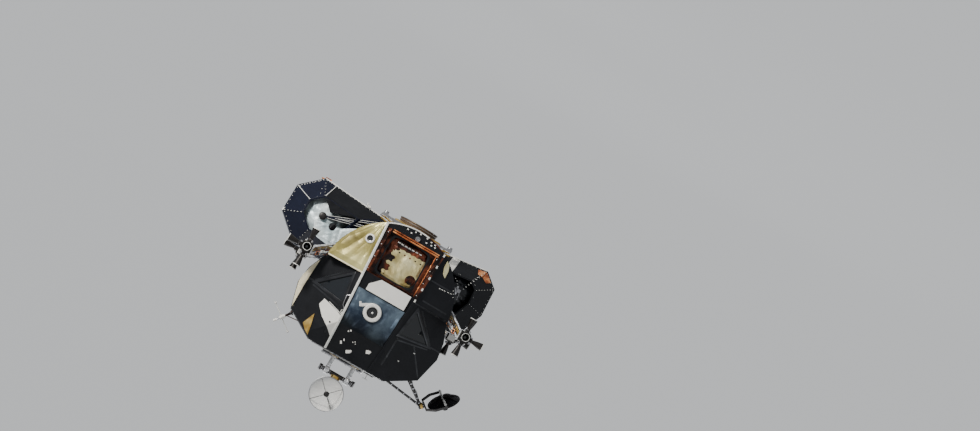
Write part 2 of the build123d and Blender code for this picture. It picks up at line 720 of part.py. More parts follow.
# thruster clusters and the outriggers that carry them
nozzle_near = nozzle_reach - nozzle_length
for fore, fore_name in ((-1, "forward"), (1, "aft")):
    for side, side_name in ((1, "port"), (-1, "starboard")):
        centre = Vector(side * quad_xy, fore * quad_xy, thruster_z)
        aims = (Vector(0, 0, 1), Vector(0, 0, -1), Vector(side, 0, 0), Vector(0, fore, 0))
        with BuildPart() as quad:
            with Locations(centre):
                Box(quad_body, quad_body, quad_body)
            chamfer(quad.edges(), quad_chamfer)
            for aim in aims:
                seat = Plane(origin=centre, z_dir=aim)
                with BuildSketch(seat.offset(quad_body / 2 - 1)):
                    Circle(2.2 * nozzle_throat_r)
                extrude(amount=nozzle_near - quad_body / 2 + 2 * nozzle_wall)
                with BuildSketch(seat.offset(nozzle_near)):
                    Circle(nozzle_throat_r + nozzle_wall)
                with BuildSketch(seat.offset(nozzle_near + nozzle_length * nozzle_belly[0])):
                    Circle(nozzle_exit_r * nozzle_belly[1])
                with BuildSketch(seat.offset(nozzle_reach)):
                    Circle(nozzle_exit_r)
                loft()
            for aim in aims:
                seat = Plane(origin=centre, z_dir=aim)
                with BuildSketch(seat.offset(nozzle_near + nozzle_floor)):
                    Circle(nozzle_throat_r)
                with BuildSketch(seat.offset(nozzle_reach + 1)):
                    Circle(nozzle_exit_r - nozzle_lip)
                loft(mode=Mode.SUBTRACT)
        keep(quad, f"thruster_quad_{fore_name}_{side_name}")
        if fore < 0:
            root_x = [sqrt(cabin_r ** 2 - h ** 2) - strut_bite for h in (root_low_h, root_high_h)]
            roots_y = fore_roots_y
            carriers = ("cabin_floor_shell", "window_shelf", f"cabin_side_{side_name}")
        else:
            root_x = (rack_half - strut_bite, rack_half - strut_bite)
            roots_y = aft_roots_y
            carriers = ("aft_equipment_bay", "aft_panel")
        plate_x = side * (quad_xy - quad_body / 2 - quad_plate / 2)
        tip_x = side * (quad_xy - quad_body / 2)
        with BuildPart() as outrigger:
            for root_y in roots_y:
                for x, root_h, end_h in ((root_x[0], root_low_h, -tip_h), (root_x[1], root_high_h, tip_h)):
                    add(tube_between((side * x, root_y, root_h), (tip_x, centre.Y, end_h), strut_r))
            with Locations((plate_x, centre.Y, thruster_z)):
                Box(quad_plate, quad_plate_width, quad_body)
            seat_on(f"thruster_quad_{fore_name}_{side_name}", *carriers)
        keep(outrigger, f"outrigger_{fore_name}_{side_name}")

# tracking light in the brow and the ledge below it
with BuildPart() as tracking_light:
    with BuildSketch(across(face_y)):
        with Locations((light_x, up(light_h))):
            Circle(light_r)
            Circle(light_bore_r, mode=Mode.SUBTRACT)
    extrude(amount=light_deep)
    with BuildSketch(across(face_y)):
        with Locations((light_x, up(light_h))):
            Circle(light_bore_r)
    extrude(amount=lens_deep)
keep(tracking_light, "tracking_light")
ledge_foot_h = recess_head_h + ledge_gap
ledge_port, ledge_starboard = ledge_side
with BuildPart() as ledge:
    add(slab(((ledge_port, ledge_foot_h + ledge_corner), (ledge_port - ledge_corner, ledge_foot_h),
              (ledge_starboard, ledge_foot_h), (ledge_starboard, ledge_head_h), (ledge_port, ledge_head_h)),
             face_y - ledge_t, face_y))
keep(ledge, "ledge")

# rendezvous radar: posts on the roof, a yoke that pitches between them and a dish that swings on the yoke
foot_x, foot_y, foot_t = radar_foot
eye_wall, eye_length = radar_eye
with BuildPart() as radar_posts:
    for side in (1, -1):
        with BuildSketch(Plane.XY.offset(up(roof_h))):
            with Locations((side * radar_post_x, radar_y)):
                Rectangle(foot_x, foot_y)
        extrude(amount=foot_t)
        with BuildSketch(Plane.XY.offset(up(roof_h) + foot_t)):
            with Locations((side * radar_post_x, radar_y)):
                Circle(radar_post_r)
        extrude(amount=radar_shaft_h - roof_h - foot_t)
        with BuildSketch(Plane(origin=(side * radar_post_x, radar_y, up(radar_shaft_h)), z_dir=(1, 0, 0))):
            Circle(radar_bar_r + eye_wall)
        extrude(amount=eye_length / 2, both=True)
    with BuildSketch(Plane(origin=(0, radar_y, up(radar_shaft_h)), z_dir=(1, 0, 0))):
        Circle(radar_bar_r + seat_gap)
    extrude(amount=radar_bar_half, both=True, mode=Mode.SUBTRACT)
keep(radar_posts, "radar_posts")
drum_r, drum_length = radar_drum
neck_h = radar_dish_h - neck_drop
with BuildPart() as radar_yoke:
    with BuildSketch(Plane(origin=(0, radar_y, up(radar_shaft_h)), z_dir=(1, 0, 0))):
        Circle(radar_bar_r)
    extrude(amount=radar_bar_half, both=True)
    for side in (1, -1):
        with BuildSketch(Plane(origin=(side * (radar_bar_half - drum_lap), radar_y, up(radar_shaft_h)),
                               z_dir=(side, 0, 0))):
            Circle(drum_r)
        extrude(amount=drum_length)
    with BuildSketch(Plane.XY.offset(up(radar_shaft_h))):
        with Locations((0, radar_y)):
            Rectangle(*neck_base)
    extrude(amount=neck_h - radar_shaft_h, taper=4)
    with BuildSketch(Plane.XY.offset(up(neck_h))):
        with Locations((0, radar_y)):
            Circle(neck_r)
    extrude(amount=neck_t)
keep(radar_yoke, "radar_yoke")


def dish_profile(radius, depth, thick):
    """Half section of a dish: its back at the origin, its mouth up; both curves are arcs."""
    mid = radius * 0.55
    with BuildLine() as outline:
        ThreePointArc((0, thick), (mid, thick + depth * 0.3), (radius, depth + thick))
        Line((radius, depth + thick), (radius + 5, depth + thick))
        ThreePointArc((radius + 5, depth + thick), (mid, depth * 0.3), (0, 0))
        Line((0, 0), (0, thick))
    return outline.line


def dish_on(plane, radius, depth, thick, feed_height, feed_r):
    """Dish with a feed on a stem, on a plane whose normal is the way it looks."""
    with BuildPart() as flat:
        with BuildSketch(Plane.XZ):
            add(dish_profile(radius, depth, thick))
            make_face()
        revolve(axis=Axis.Z)
        with BuildSketch():
            Circle(16)
        extrude(amount=feed_height)
        with BuildSketch(Plane.XY.offset(feed_height)):
            Circle(feed_r)
        extrude(amount=26, taper=12)
    return plane.location * flat.part


turret_r, turret_tall = turret
turret_z = up(neck_h) + neck_t + seat_gap
with BuildPart() as radar_dish:
    look = Plane(origin=(0, radar_y - radar_vertex, up(radar_dish_h)), x_dir=(1, 0, 0), z_dir=(0, -1, 0))
    add(dish_on(look, radar_dish_r, radar_dish_depth, radar_dish_t, *radar_feed))
    with BuildSketch(Plane.XY.offset(turret_z)):
        with Locations((0, radar_y)):
            Circle(turret_r)
    extrude(amount=turret_tall)
    with BuildSketch(across(radar_y)):
        with Locations((0, turret_z + turret_tall / 2)):
            Rectangle(*dish_arm)
    extrude(amount=radar_vertex + seat_gap)
keep(radar_dish, "radar_dish")

# steerable antenna: boom of three bars, a fork that turns on the boom's end and a dish between its tips
elbow_point = Vector(elbow[0], arm_y, up(elbow[1]))
dish_point = Vector(arm_dish[0], arm_y, up(arm_dish[1]))
arm_axis = (dish_point - elbow_point).normalized()
aim_flat = Vector(-arm_axis.Z, 0, arm_axis.X).normalized()
if aim_flat.Z < 0:
    aim_flat = aim_flat * -1
arm_aim = (aim_flat * cos(radians(arm_tilt)) + Vector(0, 1, 0) * sin(radians(arm_tilt))).normalized()
fork_axis = arm_axis.cross(arm_aim).normalized()
hub_r, hub_length = arm_hub
boom_end = elbow_point - arm_axis * (hub_length * 0.6)
with BuildPart() as antenna_boom:
    for x, h, y in arm_roots:
        add(tube_between((x, y, h), (boom_end.X, boom_end.Y, boom_end.Z - thruster_z), boom_r))
    with BuildSketch(Plane(origin=elbow_point - arm_axis * hub_length, z_dir=arm_axis)):
        Circle(hub_r)
    extrude(amount=hub_length - seat_gap)
keep(antenna_boom, "antenna_boom")
fork_reach = (dish_point - elbow_point).length
with BuildPart() as antenna_fork:
    with BuildSketch(Plane(origin=elbow_point, x_dir=fork_axis, z_dir=arm_axis)):
        Circle(fork_hub[0])
    extrude(amount=fork_hub[1])
    for side in (1, -1):
        with BuildSketch(Plane(origin=elbow_point, x_dir=arm_axis, z_dir=arm_aim)):
            with BuildLine():
                inside = side * fork_half
                outside = side * (fork_half + fork_bar)
                shoulder = side * (fork_half - fork_shoulder)
                Polyline([(pane / 6, 0), (pane / 6, shoulder), (fork_reach * 0.45, outside),
                          (fork_reach + fork_bar, outside), (fork_reach + fork_bar, inside),
                          (fork_reach * 0.5, inside), (fork_bar, shoulder - side * pane), (fork_bar, 0)],
                         close=True)
            make_face()
        extrude(amount=fork_deep / 2, both=True)
keep(antenna_fork, "antenna_fork")
with BuildPart() as antenna_dish:
    look = Plane(origin=dish_point - arm_aim * arm_dish_back, x_dir=fork_axis, z_dir=arm_aim)
    add(dish_on(look, arm_dish_r, arm_dish_depth, arm_dish_t, *arm_feed))
    with BuildSketch(Plane(origin=dish_point - arm_aim * arm_dish_back, z_dir=fork_axis)):
        Circle(stub_r)
    extrude(amount=fork_half - seat_gap, both=True)
keep(antenna_dish, "antenna_dish")

# whip antenna: a mast on the shoulder with four rods that end in balls
root_point = Vector(whip_root[0], whip_y, up(whip_root[1]))
tip_point = Vector(whip_tip[0], whip_y, up(whip_tip[1]))
mast = (tip_point - root_point).normalized()
cross_point = root_point + (tip_point - root_point) * whip_cross
in_plane = Vector(-mast.Z, 0, mast.X)
with BuildPart() as whip_antenna:
    add(tube_between((root_point.X, root_point.Y, whip_root[1]), (tip_point.X, tip_point.Y, whip_tip[1]),
                     whip_mast_r))
    for aim in (in_plane, in_plane * -1, Vector(0, 1, 0), Vector(0, -1, 0)):
        with BuildSketch(Plane(origin=cross_point, z_dir=aim)):
            Circle(whip_rod_r)
        extrude(amount=whip_rod)
        with Locations(cross_point + aim * whip_rod):
            Sphere(whip_ball_r)
    seat_on("cabin_roof", "cabin_side_port")
keep(whip_antenna, "whip_antenna")
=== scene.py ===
import bmesh
import bpy
import math
import numpy as np
from mathutils import Matrix, Vector


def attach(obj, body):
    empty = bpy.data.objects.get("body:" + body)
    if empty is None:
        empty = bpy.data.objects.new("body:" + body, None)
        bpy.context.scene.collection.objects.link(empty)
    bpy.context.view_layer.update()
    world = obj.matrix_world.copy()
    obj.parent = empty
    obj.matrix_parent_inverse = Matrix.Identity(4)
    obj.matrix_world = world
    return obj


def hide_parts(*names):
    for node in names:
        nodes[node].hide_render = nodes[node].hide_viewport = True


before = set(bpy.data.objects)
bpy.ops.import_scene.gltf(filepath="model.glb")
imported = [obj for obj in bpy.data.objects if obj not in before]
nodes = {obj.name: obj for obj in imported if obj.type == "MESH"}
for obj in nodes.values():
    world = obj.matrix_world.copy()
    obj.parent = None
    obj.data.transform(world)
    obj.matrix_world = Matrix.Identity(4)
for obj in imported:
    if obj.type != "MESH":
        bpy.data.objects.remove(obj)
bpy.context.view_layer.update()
pi = math.pi

# The stage's front faces -Y, port is +X, and heights named h are taken from the thruster plane.
thrusterZ = 1.372
faceY = -1.900
cabinR = 1.280
print("frame loaded:", len(nodes), "nodes")


def at(x, y, h):
    return np.array([x, y, thrusterZ + h], float)


def stripEdge(h):
    # half width of the centre strip, a straight line from foot to top
    return 0.600 - 0.150 * (np.asarray(h, float) + 1.120) / 2.560


# mesh helpers: each bit is a pair of arrays, points and faces, and a piece joins its bits
def gridBit(points, closeU=False, closeV=False):
    # surface of rows by columns of points; a closed direction wraps round to its first row
    rows, cols = points.shape[:2]
    i = np.arange(rows if closeU else rows - 1)
    j = np.arange(cols if closeV else cols - 1)
    a, b = np.meshgrid(i, j, indexing="ij")
    c, d = (a + 1) % rows, (b + 1) % cols
    faces = np.stack([a * cols + b, c * cols + b, c * cols + d, a * cols + d], -1).reshape(-1, 4)
    return points.reshape(-1, 3), faces.tolist()


def shellBit(front, push):
    # closed skin: the front grid, the same grid moved by push, and a rim of quads round the edge
    rows, cols = front.shape[:2]
    pts, faces = gridBit(front)
    count = rows * cols
    back = pts + np.asarray(push, float)
    faces = np.array(faces)
    backFaces = faces[:, ::-1] + count
    edge = np.concatenate([np.arange(cols), np.arange(1, rows) * cols + cols - 1,
                           (rows - 1) * cols + np.arange(cols - 2, -1, -1), np.arange(rows - 2, 0, -1) * cols])
    nxt = np.roll(edge, -1)
    rim = np.stack([edge, nxt, nxt + count, edge + count], -1)
    return np.concatenate([pts, back]), faces.tolist() + backFaces.tolist() + rim[:, ::-1].tolist()


def frameAlong(path, closed=False):
    # two unit vectors square to the path at each point, turned as little as possible
    path = np.asarray(path, float)
    ahead = np.roll(path, -1, 0) - np.roll(path, 1, 0)
    if not closed:
        ahead[0], ahead[-1] = path[1] - path[0], path[-1] - path[-2]
    ahead /= np.linalg.norm(ahead, axis=1)[:, None]
    start = np.array([0, 0, 1.0]) if abs(ahead[0][2]) < 0.9 else np.array([0, 1.0, 0])
    side = np.cross(ahead, start)
    side /= np.linalg.norm(side, axis=1)[:, None]
    if (side[1:] * side[:-1]).sum(1).min() < 0.5:
        # the path runs past the vertical, so the section keeps to the path's own plane instead
        side = np.cross(ahead, np.cross(ahead[:-1], ahead[1:]).sum(0))
        side /= np.linalg.norm(side, axis=1)[:, None]
    return ahead, side, np.cross(side, ahead)


def tubeBit(path, radius, sides=10, closed=False, caps=True):
    # circle carried along a path; radius may be one number or one for each point
    path = np.asarray(path, float)
    ahead, side, over = frameAlong(path, closed)
    angle = np.linspace(0, 2 * pi, sides, endpoint=False)
    ring = np.cos(angle)[None, :, None] * side[:, None] + np.sin(angle)[None, :, None] * over[:, None]
    pts = path[:, None] + ring * np.broadcast_to(np.asarray(radius, float), (len(path),))[:, None, None]
    pts, faces = gridBit(pts, closeU=closed, closeV=True)
    if caps and not closed:
        faces.append(list(range(sides - 1, -1, -1))[::-1])
        faces.append([(len(path) - 1) * sides + k for k in range(sides)][::-1])
    return pts, faces


def axes(normal):
    n = np.asarray(normal, float)
    n = n / np.linalg.norm(n)
    ref = np.array([0, 0, 1.0]) if abs(n[2]) < 0.9 else np.array([1.0, 0, 0])
    u = np.cross(ref, n)
    u /= np.linalg.norm(u)
    return u, np.cross(n, u), n


def latheBit(profile, origin, axis, sides=32):
    # profile of radius and height turned round the axis; a radius of nought closes the pole
    profile = np.asarray(profile, float)
    u, v, n = axes(axis)
    angle = np.linspace(0, 2 * pi, sides, endpoint=False)
    circle = np.cos(angle)[:, None] * u + np.sin(angle)[:, None] * v
    pts = np.asarray(origin, float) + profile[:, None, :1] * circle[None] + profile[:, None, 1:] * n
    return gridBit(pts, closeV=True)


def boxBit(centre, size, axisX=(1, 0, 0), axisZ=(0, 0, 1), trim=0.12):
    # block whose corners are cut: three stacked rings, each a rectangle with its corners taken off
    sx, sy, sz = (s / 2 for s in size)
    z = np.asarray(axisZ, float) / np.linalg.norm(axisZ)
    x = np.asarray(axisX, float)
    x = x - z * np.dot(x, z)
    x /= np.linalg.norm(x)
    y = np.cross(z, x)
    cut = trim * min(sx, sy, sz) * 2
    ring = np.array([(sx - cut, sy), (cut - sx, sy), (-sx, sy - cut), (-sx, cut - sy), (cut - sx, -sy),
                     (sx - cut, -sy), (sx, cut - sy), (sx, sy - cut)])
    small = np.array([(sx - cut, sy - cut)] * 1 + [(cut - sx, sy - cut)] * 2 + [(cut - sx, cut - sy)] * 2
                     + [(sx - cut, cut - sy)] * 2 + [(sx - cut, sy - cut)] * 1)
    levels = ((small, -sz), (ring, cut - sz), (ring, sz - cut), (small, sz))
    pts = np.array([[x * p[0] + y * p[1] + z * h for p in ring2] for ring2, h in levels])
    pts, faces = gridBit(pts + np.asarray(centre, float), closeV=True)
    faces.append([0, 1, 3, 5][::1])
    faces.append([24, 25, 27, 29][::-1])
    return pts, [f[::-1] for f in faces]


def plateBit(outline, thick, normal):
    # flat plate: its outline as points in space, given a thickness along the normal
    pts = np.asarray(outline, float)
    n = np.asarray(normal, float) / np.linalg.norm(normal)
    count = len(pts)
    faces = [list(range(count)), list(range(2 * count - 1, count - 1, -1))]
    faces += [[k, k + count, (k + 1) % count + count, (k + 1) % count] for k in range(count)]
    return np.concatenate([pts + n * thick, pts]), faces


def domeBits(places, normals, radius, sides=8):
    # small round heads: two rings and a top point, set on every place at once
    places = np.atleast_2d(np.asarray(places, float))
    normals = np.broadcast_to(np.asarray(normals, float), places.shape)
    angle = np.linspace(0, 2 * pi, sides, endpoint=False)
    rings = np.concatenate([np.stack([np.cos(angle) * r, np.sin(angle) * r, np.full(sides, z)], -1)
                            for r, z in ((1.0, -0.2), (0.82, 0.42))] + [[[0, 0, 0.62]]]) * radius
    frames = np.array([axes(n) for n in normals])
    pts = places[:, None] + np.einsum("ki,nij->nkj", rings, frames)
    faces = [[k, (k + 1) % sides, sides + (k + 1) % sides, sides + k] for k in range(sides)]
    faces += [[sides + k, sides + (k + 1) % sides, 2 * sides] for k in range(sides)]
    faces.append(list(range(sides - 1, -1, -1)))
    step = 2 * sides + 1
    every = [[i + n * step for i in f] for n in range(len(places)) for f in faces]
    return pts.reshape(-1, 3), every


def alongLine(a, b, pitch, inset=0.02):
    # evenly spaced points on a line, kept clear of its ends
    a, b = np.asarray(a, float), np.asarray(b, float)
    length = np.linalg.norm(b - a)
    count = max(2, int((length - 2 * inset) / pitch) + 1)
    t = np.linspace(inset / length, 1 - inset / length, count)[:, None]
    return a + (b - a) * t


def makePiece(name, bits, material, body="stage", replace=(), smooth=False, bevel=0):
    pts, faces, start = [], [], 0
    for p, f in bits:
        pts.append(p)
        faces += [[i + start for i in face] for face in f]
        start += len(p)
    mesh = bpy.data.meshes.new(name)
    mesh.from_pydata(np.concatenate(pts).tolist(), [], faces)
    mesh.validate()
    work = bmesh.new()
    work.from_mesh(mesh)
    bmesh.ops.recalc_face_normals(work, faces=work.faces)        # every face looks outwards
    work.to_mesh(mesh)
    work.free()
    obj = bpy.data.objects.new(name, mesh)
    bpy.context.scene.collection.objects.link(obj)
    mesh.materials.append(material)
    if smooth:
        mesh.shade_smooth()
        mesh.set_sharp_from_angle(angle=math.radians(38))
    if bevel:
        mod = obj.modifiers.new("softEdge", "BEVEL")
        mod.width, mod.segments, mod.limit_method = bevel, 2, "ANGLE"
    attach(obj, body)
    if replace:
        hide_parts(*replace)
    return obj


def folds(a, b, seed, size, depth, layers=5):
    # crumpled film: straight creases in turning directions, each a triangle wave bent by slow sines
    rng = np.random.default_rng(seed)
    out = np.zeros_like(a)
    for k in range(layers):
        turn = rng.uniform(0, pi)
        pitch = size / 1.55 ** k
        warp = sum(rng.uniform(0.15, 0.5) * np.sin(a * rng.uniform(1, 4) / pitch * rng.choice((-1, 1))
                                                    + b * rng.uniform(1, 4) / pitch + rng.uniform(0, 6))
                   for _ in range(3))
        phase = (a * math.cos(turn) + b * math.sin(turn)) / pitch + 0.55 * warp + rng.uniform(0, 1)
        out += (np.abs((phase % 1.0) - 0.5) * 2 - 0.5) * depth / 1.6 ** k
    return out


# materials
def material(name, **sockets):
    mat = bpy.data.materials.new(name)
    mat.use_nodes = True
    shader = mat.node_tree.nodes["Principled BSDF"]
    for key, value in sockets.items():
        socket = {"color": "Base Color", "metal": "Metallic", "rough": "Roughness", "coat": "Coat Weight",
                  "coatRough": "Coat Roughness", "specular": "Specular IOR Level", "alpha": "Alpha",
                  "ior": "IOR", "transmission": "Transmission Weight"}[key]
        shader.inputs[socket].default_value = (*value, 1) if key == "color" else value
    return mat, mat.node_tree, shader


def objectCoords(tree):
    return tree.nodes.new("ShaderNodeTexCoord").outputs["Object"]


def noiseNode(tree, vector, scale, detail=4, rough=0.5, distort=0.0):
    n = tree.nodes.new("ShaderNodeTexNoise")
    n.inputs["Scale"].default_value = scale
    n.inputs["Detail"].default_value = detail
    n.inputs["Roughness"].default_value = rough
    n.inputs["Distortion"].default_value = distort
    tree.links.new(vector, n.inputs["Vector"])
    return n


def cellNode(tree, vector, scale, feature="F1"):
    n = tree.nodes.new("ShaderNodeTexVoronoi")
    n.feature = feature
    n.inputs["Scale"].default_value = scale
    tree.links.new(vector, n.inputs["Vector"])
    return n


def rampNode(tree, fac, stops):
    n = tree.nodes.new("ShaderNodeValToRGB")
    ramp = n.color_ramp
    while len(ramp.elements) < len(stops):
        ramp.elements.new(0.5)
    for element, (place, color) in zip(ramp.elements, stops):
        element.position = place
        element.color = (*color, 1) if len(color) == 3 else color
    tree.links.new(fac, n.inputs["Fac"])
    return n.outputs["Color"]


def mixColor(tree, fac, a, b, mode="MIX"):
    n = tree.nodes.new("ShaderNodeMix")
    n.data_type, n.blend_type = "RGBA", mode
    for value, key in ((fac, 0), (a, 6), (b, 7)):
        if hasattr(value, "links"):
            tree.links.new(value, n.inputs[key])
        else:
            n.inputs[key].default_value = value if key == 0 else (*value, 1)
    return n.outputs[2]


def mathNode(tree, operation, a, b=0.0):
    n = tree.nodes.new("ShaderNodeMath")
    n.operation = operation
    for value, key in ((a, 0), (b, 1)):
        if hasattr(value, "links"):
            tree.links.new(value, n.inputs[key])
        else:
            n.inputs[key].default_value = value
    return n.outputs[0]


def bumpNode(tree, height, strength, distance, under=None):
    n = tree.nodes.new("ShaderNodeBump")
    n.inputs["Strength"].default_value = strength
    n.inputs["Distance"].default_value = distance
    tree.links.new(height, n.inputs["Height"])
    if under is not None:
        tree.links.new(under, n.inputs["Normal"])
    return n.outputs["Normal"]


def foilMaterial(name, dark, mid, light, metal=0.75, rough=0.34, scale=7.0, crease=0.8):
    # crinkled film: cell peaks seen through a warped lookup give creases, slow noise gives the colour
    mat, tree, shader = material(name, metal=metal, rough=rough)
    where = objectCoords(tree)
    warp = noiseNode(tree, where, scale * 0.6, 3)
    bent = mixColor(tree, 0.12, where, warp.outputs["Color"])
    cells = cellNode(tree, bent, scale)
    small = cellNode(tree, bent, scale * 2.7)
    height = mathNode(tree, "ADD", cells.outputs["Distance"],
                      mathNode(tree, "MULTIPLY", small.outputs["Distance"], 0.4))
    tone = noiseNode(tree, bent, scale * 0.9, 5, 0.6)
    fac = mathNode(tree, "ADD", mathNode(tree, "MULTIPLY", tone.outputs["Fac"], 0.75),
                   mathNode(tree, "MULTIPLY", cells.outputs["Distance"], 0.3))
    tree.links.new(rampNode(tree, fac, ((0.30, dark), (0.48, mid), (0.72, light))), shader.inputs["Base Color"])
    tree.links.new(bumpNode(tree, height, crease, 0.02), shader.inputs["Normal"])
    return mat


def skinMaterial(name, color, lift, rough=0.5, metal=0.0, quilt=5.0, dents=0.35, specular=0.5):
    # painted thin skin: slow dents, a faint mottling, and rubbed lighter patches
    mat, tree, shader = material(name, metal=metal, rough=rough, specular=specular)
    where = objectCoords(tree)
    slow = noiseNode(tree, where, quilt, 3)
    fine = noiseNode(tree, where, quilt * 14, 6, 0.6)
    worn = noiseNode(tree, where, quilt * 2.6, 8, 0.7, 0.6)
    base = mixColor(tree, mathNode(tree, "MULTIPLY", slow.outputs["Fac"], 0.8), color, lift)
    rub = rampNode(tree, worn.outputs["Fac"], ((0.60, (0, 0, 0)), (0.78, (1, 1, 1))))
    tint = tuple(min(1.0, c * 1.5 + 0.004) for c in lift)
    tree.links.new(mixColor(tree, mathNode(tree, "MULTIPLY", rub, 0.45), base, tint), shader.inputs["Base Color"])
    gloss = mathNode(tree, "ADD", mathNode(tree, "MULTIPLY", fine.outputs["Fac"], 0.25), rough - 0.12)
    tree.links.new(gloss, shader.inputs["Roughness"])
    low = bumpNode(tree, slow.outputs["Fac"], dents, 0.03)
    tree.links.new(bumpNode(tree, fine.outputs["Fac"], 0.12, 0.002, low), shader.inputs["Normal"])
    return mat


blackSkin = skinMaterial("blackSkin", (0.0035, 0.0038, 0.0050), (0.010, 0.011, 0.014), 0.50, specular=0.15)
navySkin = skinMaterial("navySkin", (0.0028, 0.0038, 0.0110), (0.007, 0.010, 0.026), 0.46, specular=0.16)
greySkin = skinMaterial("greySkin", (0.030, 0.031, 0.035), (0.070, 0.071, 0.078), 0.42, 0.5)
whitePaint = skinMaterial("whitePaint", (0.66, 0.65, 0.61), (0.80, 0.79, 0.75), 0.55, 0.0, 6, 0.2)
creamPaint = skinMaterial("creamPaint", (0.58, 0.52, 0.36), (0.74, 0.68, 0.50), 0.50, 0.0, 6, 0.3)
edgeTape = skinMaterial("edgeTape", (0.66, 0.66, 0.62), (0.84, 0.84, 0.80), 0.45, 0.1, 14, 0.3)
amberFoil = foilMaterial("amberFoil", (0.105, 0.080, 0.018), (0.30, 0.255, 0.075), (0.64, 0.59, 0.27), 0.35, 0.36, 1.8, 0.30)
creamFoil = foilMaterial("creamFoil", (0.20, 0.14, 0.035), (0.52, 0.46, 0.22), (0.80, 0.77, 0.52), 0.25, 0.38, 3.2, 0.35)
# copper film with copper streaks on a nearly black ground; the black ground is painted shade, as in a shaded recess
shadedCopperFoil = foilMaterial("shadedCopperFoil", (0.003, 0.002, 0.002), (0.011, 0.004, 0.003), (0.20, 0.048, 0.018), 0.60, 0.34, 6, 0.8)
emberFoil = foilMaterial("emberFoil", (0.11, 0.024, 0.008), (0.46, 0.12, 0.035), (0.82, 0.38, 0.15), 0.55, 0.34, 9, 0.6)
silverFoil = foilMaterial("silverFoil", (0.006, 0.010, 0.020), (0.026, 0.040, 0.066), (0.20, 0.27, 0.33), 0.70, 0.30, 2.2, 0.4)
tankFoil = foilMaterial("tankFoil", (0.30, 0.40, 0.43), (0.60, 0.70, 0.72), (0.86, 0.92, 0.91), 0.20, 0.40, 2.2, 0.4)
blackFoil = foilMaterial("blackFoil", (0.003, 0.003, 0.004), (0.008, 0.009, 0.011), (0.030, 0.032, 0.038), 0.40, 0.30, 3.0, 0.6)
strutWrap = foilMaterial("strutWrap", (0.18, 0.18, 0.20), (0.50, 0.51, 0.53), (0.84, 0.84, 0.84), 0.60, 0.32, 22, 0.5)
bareMetal = skinMaterial("bareMetal", (0.26, 0.26, 0.27), (0.42, 0.42, 0.43), 0.34, 0.9, 9, 0.15)
darkMetal = skinMaterial("darkMetal", (0.018, 0.017, 0.017), (0.045, 0.042, 0.041), 0.40, 0.6, 12, 0.2)
nozzleMetal = skinMaterial("nozzleMetal", (0.006, 0.0055, 0.0055), (0.020, 0.016, 0.014), 0.40, 0.5, 18, 0.15)
bellLiner = skinMaterial("bellLiner", (0.055, 0.030, 0.014), (0.12, 0.070, 0.036), 0.62, 0.0, 10, 0.3)
dishWhite = skinMaterial("dishWhite", (0.70, 0.70, 0.68), (0.82, 0.82, 0.80), 0.50, 0.0, 8, 0.12)
goldFoil = foilMaterial("goldFoil", (0.10, 0.05, 0.008), (0.40, 0.24, 0.05), (0.75, 0.55, 0.20), 0.70, 0.32, 5, 0.5)
windowGlass, _, _ = material("windowGlass", color=(0.004, 0.006, 0.009), rough=0.07)
lampBlack, _, _ = material("lampBlack", color=(0.004, 0.004, 0.005), rough=0.16, coat=0.5)

# finishes of the carried-over nodes
finishes = {
    "amber": (amberFoil, ("quarter_panel_port",)),
    "copper": (shadedCopperFoil, ("hatch_recess",)),
    "gold": (goldFoil, ("base_heat_shield",)),
    "white": (whitePaint, ("ledge", "tracking_light")),
    # the oxidizer tank's black is painted shade, where it lay in shadow; the forward hatch is black film
    "blackFilmAndShade": (blackFoil, ("forward_hatch", "oxidizer_tank")),
    "navy": (navySkin, ("fuel_bay_shield",)),
    "grey": (greySkin, ("midsection", "cabin_bulkhead", "docking_tunnel")),
    "bare": (bareMetal, ("interstage_fittings", "engine", "engine_bay", "overhead_hatch", "drogue", "whip_antenna")),
    "dark": (darkMetal, ("radar_yoke", "antenna_fork", "antenna_boom")),
    "wrap": (strutWrap, ("radar_posts", "oxidizer_tank_struts")),
    "strut": (navySkin, ("fuel_tank_struts",)),
    "dish": (dishWhite, ("radar_dish", "antenna_dish")),
    "tank": (tankFoil, ("fuel_tank",)),
    "bell": (bellLiner, ("engine_bell",)),
    "glass": (windowGlass, ("window_glass_port", "window_glass_starboard", "docking_glass")),
}
for mat, names in finishes.values():
    for name in names:
        nodes[name].data.materials.clear()
        nodes[name].data.materials.append(mat)
for name, node in nodes.items():
    if any(name in names for _, names in finishes.values()):
        continue
    # nodes not listed get the black skin: real black paint on some, and painted shade on the starboard side, which lay
    # in shadow
    mat = blackSkin
    if name.startswith("thruster_quad"):
        mat = nozzleMetal
    elif name.startswith("outrigger"):
        mat = strutWrap
    node.data.materials.clear()
    node.data.materials.append(mat)
print("materials and finishes set")

# camera: level with the front, rolled so that the stage's top points down and left
cameraSet = {"azimuth": 3.0, "elevation": 4.0, "roll": 0.497, "distance": 62.0,
             "pxPerMetre": 54.5, "faceCentrePx": (386.0, 292.0), "imagePx": (980.0, 431.0)}


def makeCamera(s):
    az, el = math.radians(s["azimuth"]), math.radians(s["elevation"])
    back = np.array([math.sin(az) * math.cos(el), -math.cos(az) * math.cos(el), math.sin(el)])
    level = np.array([math.cos(az), math.sin(az), 0.0])
    upright = np.cross(back, level)
    c, k = math.sqrt(1 - s["roll"] ** 2), s["roll"]
    right = -level * c - upright * k
    over = level * k - upright * c
    shiftX = (s["imagePx"][0] / 2 - s["faceCentrePx"][0]) / s["pxPerMetre"]
    shiftY = (s["faceCentrePx"][1] - s["imagePx"][1] / 2) / s["pxPerMetre"]
    place = at(0, faceY, 0) + back * s["distance"] + right * shiftX + over * shiftY
    data = bpy.data.cameras.new("photoCamera")
    data.sensor_width = 36
    data.lens = s["distance"] * s["pxPerMetre"] * data.sensor_width / s["imagePx"][0]
    data.clip_end = 400
    cam = bpy.data.objects.new("photoCamera", data)
    bpy.context.scene.collection.objects.link(cam)
    cam.matrix_world = Matrix([[right[i], over[i], back[i], place[i]] for i in range(3)] + [[0, 0, 0, 1]])
    bpy.context.scene.camera = cam


makeCamera(cameraSet)

